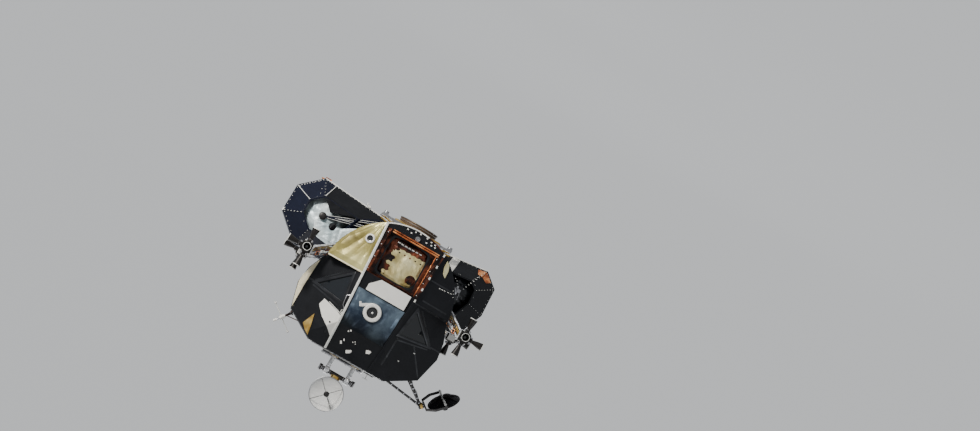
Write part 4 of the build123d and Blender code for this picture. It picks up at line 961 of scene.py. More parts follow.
def makeStarboardPatches(s, common):
    white = baySheet(s, common, ((-0.835, -1.262), (-0.982, -1.262), (-0.930, -0.975), (-0.773, -1.000)), 71, 0.003, 0.005)
    makePiece("bay_patch_white", [white], whitePaint, smooth=True)
    ember = [baySheet(s, common, ((-1.36, -1.290), (-1.525, -1.325), (-1.490, -1.190), (-1.390, -1.200)), 73, 0.005, 0.005),
             baySheet(s, common, ((-1.535, -1.325), (-1.690, -1.190), (-1.610, -1.130), (-1.500, -1.190)), 74, 0.005, 0.005)]
    makePiece("bay_patch_ember", ember, emberFoil, smooth=True)
    dashes = dashLine(s, common, (-1.500, -1.290), (-1.335, -0.960), 0.062, 0.026, 0.012)
    dashes += dashLine(s, common, (-1.330, -0.950), (-1.270, -0.800), 0.050, 0.020, 0.006)
    dashes += dashLine(s, common, (-0.880, -0.940), (-1.070, -0.912), 0.060, 0.022, 0.006)
    dashes += dashLine(s, common, (-1.080, -0.900), (-1.190, -0.790), 0.050, 0.022, 0.006)
    makePiece("bay_dashes_starboard", dashes, edgeTape)
    bracket = [boxBit(at(-1.215, -0.664, -0.735), (0.075, 0.020, 0.070), (0.9, 0, 0.4)),
               boxBit(at(-1.170, -0.668, -0.790), (0.040, 0.018, 0.050)),
               tubeBit([at(-1.245, -0.668, -0.700), at(-1.262, -0.668, -0.570)], 0.008, 8)]
    makePiece("bay_bracket_starboard", bracket, bareMetal, bevel=0.002)
    # lit patch on the shaded starboard quarter panel, a cream sheet that is painted light, and dashes beside it
    litPatch = np.array([(-0.698, -1.060), (-0.770, -1.005), (-0.809, -0.899), (-0.815, -0.756), (-0.749, -0.804),
                      (-0.701, -0.928)])
    top = frontPoints(litPatch[:, 0], litPatch[:, 1], 0.35, np.full(6, 0.014))
    low = frontPoints(litPatch[:, 0], litPatch[:, 1], 0.35, np.full(6, 0.002))
    faces = [list(range(6)), list(range(11, 5, -1))] + [[k, k + 6, (k + 1) % 6 + 6, (k + 1) % 6] for k in range(6)]
    makePiece("quarter_light_patch", [(np.concatenate([top, low]), faces)], creamFoil, bevel=0.003)
    spots = np.array([(-0.830, -0.547), (-0.880, -0.552), (-0.930, -0.558), (-1.00, -0.565), (-1.06, -0.572)])
    marks = frontPoints(spots[:, 0], spots[:, 1], 0.35, np.full(5, 0.005))
    makePiece("quarter_dashes", [boxBit(m, (0.030, 0.008, 0.010)) for m in marks], edgeTape)


makeStarboardPatches(oxidizerBay, bayCommon)


def makePortCovers(s, common):
    # film over the port bay: a black sheet below the tank, which is painted shadow, and a pale skirt from the tank to
    # the quarter panel
    shadowSheets = [baySheet(s, common, ((0.640, -1.215), (1.725, -1.305), (1.825, -1.040), (1.080, -0.975)), 81, 0.003, 0.004),
             baySheet(s, common, ((1.082, -0.972), (1.828, -1.034), (1.600, -0.810), (1.300, -0.905)), 82, 0.003, 0.004)]
    makePiece("fuel_bay_shadow_covers", shadowSheets, blackSkin, smooth=True)
    skirt = [baySheet(s, common, ((1.800, -0.560), (1.660, -0.300), (1.180, -0.240), (1.290, -0.640)), 83, 0.014, 0.006),
             baySheet(s, common, ((1.290, -0.640), (1.180, -0.240), (0.960, -0.520), (1.020, -0.800)), 84, 0.012, 0.006)]
    oval = [(0.0, 0.010), (0.052, 0.008), (0.070, 0.0), (0.070, -0.02), (0.0, -0.02)]
    makePiece("fuel_bay_port", [latheBit(oval[::-1], at(1.435, float(baySurface(s, common, 1.435, -0.60)) - 0.034, -0.60),
                                         (-0.2, -0.97, 0.1), 32)], lampBlack, smooth=True)
    makePiece("fuel_bay_skirt", skirt, tankFoil, smooth=True)
    line = [at(x, float(baySurface(s, common, x, h)) - 0.010, h) for x, h in ((1.734, -1.325), (1.780, -1.190), (1.830, -1.040))]
    makePiece("fuel_bay_line", [tubeBit(line, 0.0075, 8)], edgeTape, smooth=True)
    dots = dashLine(s, common, (2.380, -0.442), (2.070, -0.555), 0.055, 0.014, 0.009)
    dots += dashLine(s, common, (2.370, -0.965), (2.000, -1.320), 0.052, 0.018, 0.010)
    dots += dashLine(s, common, (1.960, -1.150), (1.930, -1.020), 0.055, 0.012, 0.010)
    makePiece("fuel_bay_dashes", dots, edgeTape)
    knobs = domeBits([at(2.397, -common["flatY"] - 0.004, -0.442), at(2.395, -common["flatY"] - 0.004, -0.470)], (0.6, -0.8, 0), 0.020)
    makePiece("fuel_bay_knobs", [knobs], whitePaint, smooth=True)
    ember = [boxBit(at(1.930, -0.250, -1.362), (0.120, 0.060, 0.030), (0.99, 0, -0.1)),
             boxBit(at(2.030, -0.250, -1.325), (0.060, 0.060, 0.026), (0.74, 0, 0.67))]
    makePiece("fuel_bay_ember", ember, emberFoil, bevel=0.002)
    bracket = [boxBit(at(1.010, -0.320, -1.290), (0.060, 0.040, 0.040)), boxBit(at(1.060, -0.320, -1.315), (0.030, 0.030, 0.050))]
    makePiece("fuel_bay_bracket", bracket, whitePaint, bevel=0.002)
    # two pale lines along each front strut of the tank
    lines = []
    for h in (-1.175, -1.010):
        a, b = at(s["tankX"], -0.614, common["tankH"]), at(0.486, -0.614, h)
        aim = (b - a) / np.linalg.norm(b - a)
        across = np.array([-aim[2], 0, aim[0]])
        for side in (1, -1):
            off = across * side * 0.018 + np.array([0, -0.0155, 0])
            lines.append(tubeBit([a + aim * 0.09 + off, b - aim * 0.02 + off], 0.0045, 6))
    makePiece("fuel_strut_lines", lines, edgeTape, smooth=True)


makePortCovers(fuelBay, bayCommon)


def makeFittingStruts():
    # short gold bars from the cabin's foot to the four pads, with gold end blocks
    bars, ends = [], []
    for side in (1, -1):
        for y in (-0.660, 0.600):
            a = at(side * 0.470, y, -1.205) if y < 0 else at(side * 0.488, y, -1.10)
            b = at(side * 0.686, y, -1.268)
            bars.append(tubeBit([a, b], 0.020, 12))
            bars.append(tubeBit([a + (0, 0, 0.052), b + (side * 0.06, 0, 0.052)], 0.016, 12))
            ends.append(boxBit(b + (0, 0, 0.010), (0.070, 0.060, 0.026)))
    makePiece("pad_bars", bars, goldFoil, smooth=True)
    makePiece("pad_bar_ends", ends, goldFoil, bevel=0.002)


makeFittingStruts()
print("bays made")

# windows: a riveted frame round each triangle, set on the leaning panel
windowSet = {"corners": ((0.600, 0.560), (1.190, 0.470), (0.680, 0.010)), "band": 0.036, "lift": 0.009, "lean": 0.75}


def offsetTriangle(corners, amount):
    # moves each side of the triangle outwards by amount, and meets them again
    pts = np.asarray(corners, float)
    centre = pts.mean(0)
    lines = []
    for k in range(3):
        a, b = pts[k], pts[(k + 1) % 3]
        n = np.array([b[1] - a[1], a[0] - b[0]])
        n /= np.linalg.norm(n)
        n = n if np.dot(n, (a + b) / 2 - centre) > 0 else -n
        lines.append((n, np.dot(n, a) + amount))
    out = []
    for k in range(3):
        (n1, d1), (n2, d2) = lines[k - 1], lines[k]
        out.append(np.linalg.solve(np.array([n1, n2]), np.array([d1, d2])))
    return np.array(out)


def makeWindows(s):
    for side, name in ((1, "port"), (-1, "starboard")):
        rings = []
        for amount, lift in ((-0.012, -0.020), (-0.012, s["lift"] - 0.003), (-0.006, s["lift"]),
                             (s["band"] - 0.006, s["lift"]), (s["band"], s["lift"] - 0.003), (s["band"], -0.004)):
            t = offsetTriangle(s["corners"], amount)
            row = []
            for k in range(3):
                for f in np.linspace(0, 1, 12, endpoint=False):
                    row.append(t[k] + (t[(k + 1) % 3] - t[k]) * f)
            row = np.array(row)
            rings.append(frontPoints(side * row[:, 0], row[:, 1], s["lean"], np.full(len(row), lift)))
        grid = np.array(rings)
        grid = grid if side > 0 else grid[:, ::-1]
        makePiece("window_frame_" + name, [gridBit(grid, closeV=True)], blackFoil, smooth=True)
        mid = offsetTriangle(s["corners"], s["band"] / 2)
        spots = np.concatenate([alongLine(np.append(mid[k], 0), np.append(mid[(k + 1) % 3], 0), 0.052)
                                for k in range(3)])
        heads = frontPoints(side * spots[:, 0], spots[:, 1], s["lean"], np.full(len(spots), s["lift"]))
        makePiece("window_rivets_" + name, [domeBits(heads, (side * 0.6, -0.8, 0), 0.0055)], darkMetal, smooth=True)


makeWindows(windowSet)

# seams: raised tapes and rivet rows on the black panels
seamSet = {"wide": 0.030, "lift": 0.0035}


def seamBit(a, b, lean, wide, lift, count=24):
    # flat tape on the front between two points given as x and h
    a, b = np.asarray(a, float), np.asarray(b, float)
    d = (b - a) / np.linalg.norm(b - a)
    n = np.array([-d[1], d[0]]) * wide / 2
    t = np.linspace(0, 1, count)[:, None]
    mid = a + (b - a) * t
    rows = [mid - n, mid - n * 0.8, mid + n * 0.8, mid + n]
    lifts = (0.0, lift, lift, 0.0)
    pts = np.array([frontPoints(r[:, 0], r[:, 1], lean, np.full(count, f)) for r, f in zip(rows, lifts)])
    return pts


def makeSeams(s):
    lines = (((0.565, -0.09), (1.262, -0.09), 0.75), ((0.61, 0.62), (0.60, 1.20), 0.75),
             ((1.24, 0.46), (1.46, 0.46), 0.75), ((0.60, 0.66), (1.22, 0.53), 0.75),
             ((1.22, 0.44), (0.76, -0.03), 0.75), ((0.96, 0.60), (1.32, 1.06), 0.75))
    bits, heads = [], []
    for a, b, lean in lines:
        for side in (1, -1):
            if side > 0 and a == (0.96, 0.60):
                continue
            aa, bb = (side * a[0], a[1]), (side * b[0], b[1])
            pts = seamBit(aa, bb, lean, s["wide"], s["lift"])
            bits.append(gridBit(pts if side < 0 else pts[::-1]))
            row = alongLine((aa[0], aa[1], 0), (bb[0], bb[1], 0), 0.065)
            spots = frontPoints(row[:, 0], row[:, 1], lean, np.full(len(row), s["lift"]))
            heads.append(domeBits(spots, (side * 0.6, -0.8, 0), 0.005))
    for a, b in (((-0.66, -0.20), (-1.18, -0.20)), ((-0.62, -0.60), (-1.08, -0.60))):
        pts = seamBit(a, b, 0.35, s["wide"], s["lift"])
        bits.append(gridBit(pts))
        row = alongLine((a[0], a[1], 0), (b[0], b[1], 0), 0.065)
        heads.append(domeBits(frontPoints(row[:, 0], row[:, 1], 0.35, np.full(len(row), s["lift"])), (-0.33, -0.94, 0), 0.005))
    makePiece("front_seams", bits, blackFoil, smooth=True)
    makePiece("front_seam_rivets", heads, darkMetal, smooth=True)
    # rivets round the starboard quarter panel's edge, bright as in the photograph
    t = np.linspace(-1.48, -2.70, 26)
    x, h = np.cos(t) * (cabinR - 0.030), np.sin(t) * (cabinR - 0.030)
    keep = (x < -0.60) & (h < -0.12) & (h > -0.66)
    spots = frontPoints(x[keep], h[keep], 0.35, np.full(keep.sum(), 0.0))
    makePiece("quarter_rivets_starboard", [domeBits(spots, (-0.33, -0.94, 0), 0.008)], edgeTape, smooth=True)
    # small pale blocks and clips on the brow below the radar
    def browBlock(x, h, wide, tall, turn=0.0):
        c = math.cos(turn), 0, math.sin(turn)
        return boxBit(at(x, float(browY(h)) - 0.012, h), (wide, 0.026, tall), c, (-c[2], 0, c[0]))
    clips = [browBlock(0.050, 1.290, 0.088, 0.062, 0.5), browBlock(0.016, 1.262, 0.040, 0.044, 0.2),
             browBlock(-0.262, 1.120, 0.066, 0.070, 0.4), browBlock(-0.298, 1.108, 0.040, 0.050, -0.3),
             browBlock(0.205, 0.935, 0.030, 0.030, 0.3), browBlock(0.238, 0.965, 0.024, 0.024),
             browBlock(0.250, 1.205, 0.034, 0.060, 0.5), browBlock(0.225, 1.140, 0.022, 0.044, 0.5),
             browBlock(0.030, 1.075, 0.016, 0.020, 0.5), browBlock(0.005, 1.105, 0.014, 0.018), browBlock(0.062, 1.100, 0.014, 0.018)]
    makePiece("brow_blocks", clips, whitePaint, bevel=0.002)
    marks = frontPoints(np.array([-1.030, -0.837]), np.array([0.710, 0.980]), 0.75, np.full(2, 0.005))
    makePiece("window_panel_clips", [boxBit(m, (0.034, 0.012, 0.018)) for m in marks], edgeTape)


makeSeams(seamSet)
print("windows and seams made")

# thruster clusters: bright lips, a white that is painted highlight on the nozzle rims, dark throats, valves and
# brackets
quadSet = {"xy": 1.676, "reach": 0.380, "exitR": 0.073, "length": 0.235, "body": 0.210}


def makeQuads(s):
    for fore, foreName in ((-1, "forward"), (1, "aft")):
        for side, sideName in ((1, "port"), (-1, "starboard")):
            centre = at(side * s["xy"], fore * s["xy"], 0)
            lipHighlights, throats, metal, wrap = [], [], [], []
            for aim in ((0, 0, 1), (0, 0, -1), (side, 0, 0), (0, fore, 0)):
                aim = np.array(aim, float)
                u, v, _ = axes(aim)
                r, top = s["exitR"], s["reach"]
                lip = [(r - 0.004, top - 0.010), (r + 0.003, top - 0.010), (r + 0.005, top - 0.003), (r + 0.003, top + 0.003),
                       (r - 0.003, top + 0.003), (r - 0.004, top - 0.010)]
                lipHighlights.append(latheBit(lip, centre, aim, 36))
                throat = [(0.0, top - 0.180), (0.024, top - 0.180), (0.024, top - 0.170), (0.0, top - 0.170)]
                throats.append(latheBit(throat, centre, aim, 24))
                band = top - s["length"]
                for h, radius in ((band + 0.004, 0.034), (band + 0.030, 0.034)):
                    metal.append(latheBit([(radius - 0.008, h), (radius, h), (radius, h + 0.012), (radius - 0.008, h + 0.012),
                                           (radius - 0.008, h)], centre, aim, 24))
                for a in (0.6, 2.2, 3.8, 5.4):
                    d = u * math.cos(a) + v * math.sin(a)
                    foot = centre + aim * (s["body"] / 2 + 0.006) + d * 0.070
                    metal.append(tubeBit([foot, foot + aim * 0.038], 0.014, 10))
                    wrap.append(tubeBit([foot + aim * 0.030, centre + aim * (band + 0.02) + d * 0.034], 0.0045, 6))
            half = s["body"] / 2
            plates = []
            for aim in ((-side, 0, 0), (0, -fore, 0)):
                aim = np.array(aim, float)
                plates.append(boxBit(centre + aim * (half + 0.004), (0.150, 0.150, 0.010), (0, 0, 1), aim))
            for z in (-1, 1):
                for f in (-1, 1):
                    corner = centre + np.array([f * half * 0.62, -f * half * 0.62, z * half * 0.90])
                    plates.append(boxBit(corner, (0.034, 0.034, 0.030)))
            label = foreName + "_" + sideName
            # white nozzle lips: painted highlights on the rims
            makePiece("nozzle_lip_highlights_" + label, lipHighlights, edgeTape, smooth=True)
            makePiece("nozzle_throats_" + label, throats, lampBlack, smooth=True)
            makePiece("thruster_valves_" + label, metal, bareMetal, smooth=True)
            makePiece("thruster_pipes_" + label, wrap, shadedCopperFoil, smooth=True)
            makePiece("thruster_brackets_" + label, plates, whitePaint, bevel=0.002)


makeQuads(quadSet)


def makeOutriggerTrim():
    # metal clamps on the upper bars and a pair of propellant pipes to each cluster
    pipes, sleeves = [], []
    for fore, rootY in ((-1, -1.33), (1, 1.54)):
        for side in (1, -1):
            rootX = 1.262 if fore < 0 else 1.130
            for k, (dy, dh) in enumerate(((-0.020, -0.235), (0.020, -0.205))):
                a = at(side * rootX, rootY + dy, dh)
                c = at(side * 1.560, fore * 1.676 - dy * 1.2, -0.020 + 0.04 * k)
                mid = (a + c) / 2 + np.array([0, 0, -0.035])
                t = np.linspace(0, 1, 12)[:, None]
                path = a * (1 - t) ** 2 + mid * 2 * t * (1 - t) + c * t ** 2
                pipes.append(tubeBit(path, 0.009, 8))
            for t in (0.32, 0.62):
                a = at(side * rootX, rootY, -0.220)
                c = at(side * 1.560, fore * 1.676, 0)
                spot = a * (1 - t) + c * t + np.array([0, 0, -0.033 * 2 * t * (1 - t)])
                sleeves.append(boxBit(spot, (0.022, 0.070, 0.050), (c - a), (0, 0, 1)))
    makePiece("propellant_pipes", pipes, goldFoil, smooth=True)
    makePiece("pipe_clamps", sleeves, bareMetal, bevel=0.0015)


makeOutriggerTrim()


def makeClusterFrames():
    # square wire frames and boxes on the outrigger between the body and each forward cluster
    pale, ember, boxes = [], [], []
    for side in (1, -1):
        a, c = at(side * 1.262, -1.33, -0.200), at(side * 1.560, -1.676, 0.0)
        along = (c - a) / np.linalg.norm(c - a)
        over = np.cross(along, (0, 0, 1.0))
        over /= np.linalg.norm(over)
        for k, t in enumerate((0.30, 0.52, 0.76)):
            mid = a + (c - a) * t + np.array([0, 0, 0.045])
            half = 0.050 - 0.006 * k
            up = np.array([0, 0, 1.0])
            ring = [mid + (along * i + up * j) * half + over * side * 0.060 for i, j in ((1, 1), (1, -1), (-1, -1), (-1, 1))]
            (pale if k % 2 else ember).append(tubeBit(np.array(ring), 0.0075, 8, closed=True))
            boxes.append(boxBit(mid + over * side * 0.060, (0.040, 0.022, 0.040), along, up))
    makePiece("cluster_frames_pale", pale, edgeTape, smooth=True)
    makePiece("cluster_frames_ember", ember, emberFoil, smooth=True)
    makePiece("cluster_boxes", boxes, darkMetal, bevel=0.002)


makeClusterFrames()
print("thrusters made")

# rendezvous radar: rim, feed legs and ribs of the dish, bands on the yoke, sleeves on the posts
radarSet = {"y": -1.130, "shaftH": 1.775, "dishH": 2.165, "dishR": 0.320, "depth": 0.104, "vertex": 0.105,
            "feed": 0.235, "postX": 0.215, "barHalf": 0.345}


def dishBack(r, radius, depth):
    # the dish's back is close to a parabola through its rim
    return depth * (np.asarray(r, float) / radius) ** 2


def ribsBit(origin, axis, radius, depth, count, high, thin, start):
    # radial plates behind a dish, each as tall as high at the middle and nothing at the rim
    u, v, n = axes(axis)
    bits = []
    for k in range(count):
        a = 2 * pi * k / count + 0.2
        d = u * math.cos(a) + v * math.sin(a)
        across = np.cross(n, d) * thin / 2
        r = np.linspace(start, radius * 0.985, 14)[:, None]
        top = np.asarray(origin) + d * r + n * (dishBack(r, radius, depth) - 0.001)
        low = top - n * (0.004 + high * (1 - r / radius) ** 0.8)
        ring = np.stack([top + across, top - across, low - across, low + across], 1)
        pts, faces = gridBit(ring, closeV=True)
        bits.append((pts, faces + [[3, 2, 1, 0], [13 * 4 + j for j in range(4)]]))
    return bits


def makeRadar(s):
    axis = np.array([0, -1.0, 0])
    vertex = at(0, s["y"] - s["vertex"], s["dishH"])
    rim = vertex + axis * s["depth"]
    t = np.linspace(0, 2 * pi, 64, endpoint=False)
    circle = np.stack([np.cos(t) * s["dishR"], np.zeros_like(t), np.sin(t) * s["dishR"]], -1)
    makePiece("radar_rim", [tubeBit(rim + circle, 0.0075, 8, closed=True)], bareMetal, "radar_dish", smooth=True)
    feed = vertex + axis * (s["feed"] + 0.012)
    legs = []
    for k in range(4):
        a = pi / 4 + k * pi / 2
        foot = rim + np.array([math.cos(a), 0, math.sin(a)]) * (s["dishR"] - 0.012)
        legs.append(tubeBit([foot, feed + (foot - feed) * 0.12], 0.0055, 8))
    cup = [(0.0, -0.030), (0.030, -0.030), (0.050, -0.006), (0.054, 0.016), (0.046, 0.022), (0.0, 0.024)]
    legs.append(latheBit(cup[::-1], feed, axis, 36))
    makePiece("radar_feed", legs, darkMetal, "radar_dish", smooth=True)
    makePiece("radar_ribs", ribsBit(vertex, axis, s["dishR"], s["depth"], 12, 0.045, 0.005, 0.05), bareMetal,
              "radar_dish")
    hub = [(0.0, 0.014), (0.060, 0.014), (0.085, 0.0), (0.085, -0.022), (0.0, -0.022)]
    makePiece("radar_hub", [latheBit(hub[::-1], vertex - axis * 0.010, axis, 40)], darkMetal, "radar_dish", smooth=True)
    shaft = at(0, s["y"], s["shaftH"])
    bands = []
    for side in (1, -1):
        for off, r in ((0.318, 0.066), (0.358, 0.066), (0.140, 0.048), (0.290, 0.048)):
            ring = [(r - 0.006, -0.006), (r, -0.006), (r, 0.006), (r - 0.006, 0.006), (r - 0.006, -0.006)]
            bands.append(latheBit(ring, shaft + (side * off, 0, 0), (1, 0, 0), 32))
    makePiece("radar_yoke_bands", bands, bareMetal, "radar_yoke", smooth=True)
    blocks = [boxBit(shaft + (0, -0.062, 0.06), (0.110, 0.030, 0.100)), boxBit(shaft + (0, 0.060, 0.09), (0.090, 0.026, 0.140)),
              boxBit(shaft + (0.080, 0, 0.05), (0.014, 0.080, 0.070)), boxBit(shaft + (-0.080, 0, 0.05), (0.014, 0.080, 0.070))]
    makePiece("radar_yoke_covers", blocks, goldFoil, "radar_yoke", bevel=0.002)
    rings, feet, bolts = [], [], []
    for side in (1, -1):
        for h in np.linspace(1.505, 1.665, 6):
            r = 0.0445
            ring = [(r - 0.004, -0.005), (r, -0.005), (r, 0.005), (r - 0.004, 0.005), (r - 0.004, -0.005)]
            rings.append(latheBit(ring, at(side * s["postX"], s["y"], h), (0, 0, 1), 32))
        feet.append(boxBit(at(side * s["postX"], s["y"], 1.4745), (0.170, 0.190, 0.010)))
        for dx in (-0.062, 0.062):
            for dy in (-0.070, 0.070):
                bolts.append(at(side * s["postX"] + dx, s["y"] + dy, 1.4795))
    makePiece("radar_post_rings", rings, edgeTape, smooth=True)
    makePiece("radar_post_feet", feet, goldFoil, bevel=0.002)
    makePiece("radar_post_bolts", [domeBits(bolts, (0, 0, 1), 0.010)], bareMetal, smooth=True)
    cable = [at(0.215, -1.082, 1.48), at(0.24, -1.06, 1.60), at(0.20, -1.065, 1.72), at(0.10, -1.075, 1.755)]
    makePiece("radar_cable", [tubeBit(smoothPath(cable, 8), 0.007, 8)], lampBlack, smooth=True)


def smoothPath(points, per):
    # curve through the given points, with per steps between each two of them
    pts = np.asarray(points, float)
    ext = np.concatenate([[2 * pts[0] - pts[1]], pts, [2 * pts[-1] - pts[-2]]])
    t = np.linspace(0, 1, per, endpoint=False)[:, None]
    out = [0.5 * ((2 * b) + (c - a) * t + (2 * a - 5 * b + 4 * c - d) * t ** 2 + (3 * b - a - 3 * c + d) * t ** 3)
           for a, b, c, d in zip(ext, ext[1:], ext[2:], ext[3:])]
    return np.concatenate(out + [pts[-1:]])


makeRadar(radarSet)

# steerable antenna: its places follow from the elbow and the dish's centre, as in the solids
armSet = {"y": -0.250, "elbow": (-1.735, 1.440), "dish": (-2.005, 1.165), "tilt": 22.5, "radius": 0.310,
          "depth": 0.096, "back": 0.040, "feed": 0.220, "roots": ((-0.840, 1.380, -0.620), (-1.235, 1.140, -0.560),
                                                                  (-1.235, 1.140, 0.040))}


def makeSteerable(s):
    elbow, dish = at(s["elbow"][0], s["y"], s["elbow"][1]), at(s["dish"][0], s["y"], s["dish"][1])
    along = (dish - elbow) / np.linalg.norm(dish - elbow)
    flat = np.array([-along[2], 0, along[0]])
    flat = flat if flat[2] > 0 else -flat
    tilt = math.radians(s["tilt"])
    look = flat * math.cos(tilt) + np.array([0, 1, 0]) * math.sin(tilt)
    look /= np.linalg.norm(look)
    vertex = dish - look * s["back"]
    r = np.linspace(0, s["radius"], 16)
    back = [(a, b - 0.0030) for a, b in zip(r, dishBack(r, s["radius"], s["depth"]))]
    skin = back + [(s["radius"] + 0.002, s["depth"] - 0.002)]
    # the dish's back is black as painted shade, where it lay in shadow
    makePiece("antenna_back_shade", [latheBit(skin[::-1], vertex, look, 64)], blackSkin, "antenna_dish", smooth=True)
    u, v, n = axes(look)
    t = np.linspace(0, 2 * pi, 64, endpoint=False)[:, None]
    circle = vertex + n * (s["depth"]) + (u * np.cos(t) + v * np.sin(t)) * s["radius"]
    makePiece("antenna_rim", [tubeBit(circle, 0.007, 8, closed=True)], darkMetal, "antenna_dish", smooth=True)
    makePiece("antenna_ribs", ribsBit(vertex - n * 0.003, look, s["radius"], s["depth"], 8, 0.050, 0.006, 0.04),
              darkMetal, "antenna_dish")
    feed = vertex + n * (s["feed"] + 0.013)
    legs = [tubeBit([vertex + n * s["depth"] * 0.64 + (u * math.cos(a) + v * math.sin(a)) * s["radius"] * 0.80,
                     feed + (u * math.cos(a) + v * math.sin(a)) * 0.020], 0.005, 8) for a in (0.5, 2.6, 4.7)]
    cup = [(0.0, -0.024), (0.026, -0.024), (0.044, -0.004), (0.046, 0.018), (0.0, 0.020)]
    legs.append(latheBit(cup[::-1], feed, look, 32))
    makePiece("antenna_feed", legs, darkMetal, "antenna_dish", smooth=True)
    # boom: metal bands on its bars, a clamped hub and a cable along the middle bar
    end = elbow - along * 0.060
    rings = []
    for x, h, y in s["roots"]:
        root = at(x, y, h)
        aim = (end - root) / np.linalg.norm(end - root)
        for f in np.linspace(0.18, 0.86, 5):
            ring = [(0.023, -0.009), (0.0275, -0.009), (0.0275, 0.009), (0.023, 0.009), (0.023, -0.009)]
            rings.append(latheBit(ring, root + (end - root) * f, aim, 20))
    makePiece("boom_bands", rings, bareMetal, smooth=True)
    hub = [(0.050, -0.070), (0.060, -0.070), (0.062, -0.060), (0.062, -0.030), (0.060, -0.020), (0.050, -0.020),
           (0.050, -0.070)]
    makePiece("boom_hub", [latheBit(hub, elbow, along, 36)], goldFoil, smooth=True)
    root = at(*(s["roots"][1][0], s["roots"][1][2], s["roots"][1][1]))
    f = np.linspace(0.02, 0.95, 24)[:, None]
    sag = np.array([0, 0, -1.0]) * (0.032 + 0.012 * np.sin(f * 14))
    makePiece("boom_cable", [tubeBit(root + (end - root) * f + sag, 0.006, 8)], lampBlack, smooth=True)


makeSteerable(armSet)

# whip antenna: foot, coloured sleeves and white tips
whipSet = {"y": -0.900, "root": (1.262, 1.140), "tip": (1.510, 1.460), "cross": 0.62, "rod": 0.290}


def makeWhip(s):
    root, tip = at(s["root"][0], s["y"], s["root"][1]), at(s["tip"][0], s["y"], s["tip"][1])
    aim = (tip - root) / np.linalg.norm(tip - root)
    long = np.linalg.norm(tip - root)

    def sleeve(f0, f1, r, rEnd=None):
        rEnd = rEnd or r
        body = [(0.012, f0 * long), (r, f0 * long), (rEnd, f1 * long), (0.012, f1 * long), (0.012, f0 * long)]
        return latheBit(body, root, aim, 28)

    makePiece("whip_foot", [sleeve(0.08, 0.14, 0.052, 0.048), sleeve(0.14, 0.20, 0.030)], darkMetal, smooth=True)
    makePiece("whip_sleeve", [sleeve(0.20, 0.44, 0.024, 0.021)], shadedCopperFoil, smooth=True)
    makePiece("whip_collar", [sleeve(0.50, 0.72, 0.040, 0.036), sleeve(0.44, 0.50, 0.028), sleeve(0.86, 1.04, 0.024)],
              whitePaint, smooth=True)
    cross = root + (tip - root) * s["cross"]
    flat = np.array([-aim[2], 0, aim[0]])
    tips, rods = [], []
    for d in (flat, -flat, np.array([0, 1.0, 0]), np.array([0, -1.0, 0])):
        ball = [(0.0, 0.025), (0.0145, 0.0205), (0.023, 0.010), (0.025, 0.0), (0.023, -0.010), (0.0145, -0.0205),
                (0.0, -0.025)]
        tips.append(latheBit(ball[::-1], cross + d * s["rod"], d, 20))
        rods.append(tubeBit([cross + d * 0.030, cross + d * 0.280], [0.0105, 0.0075], 10))
    makePiece("whip_tips", tips, whitePaint, smooth=True)
    makePiece("whip_rod_sleeves", rods, edgeTape, smooth=True)
    mid = root + (tip - root) * 0.40
    stays = [tubeBit([mid, at(x, s["y"] + dy, h)], 0.009, 8)
             for x, dy, h in ((1.120, 0.0, 1.245), (1.290, 0.13, 1.105), (1.290, -0.13, 1.105))]
    makePiece("whip_stays", stays, shadedCopperFoil, smooth=True)


makeWhip(whipSet)
print("antennas made")

# roof: tunnel ring with its latches, docking window's frame, docking target
roofSet = {"h": 1.440, "tunnelR": 0.430, "boreR": 0.400, "topH": 1.500, "latches": 12,
           "window": (0.330, 0.680, -1.290, -1.110), "target": (-0.560, 0.420)}


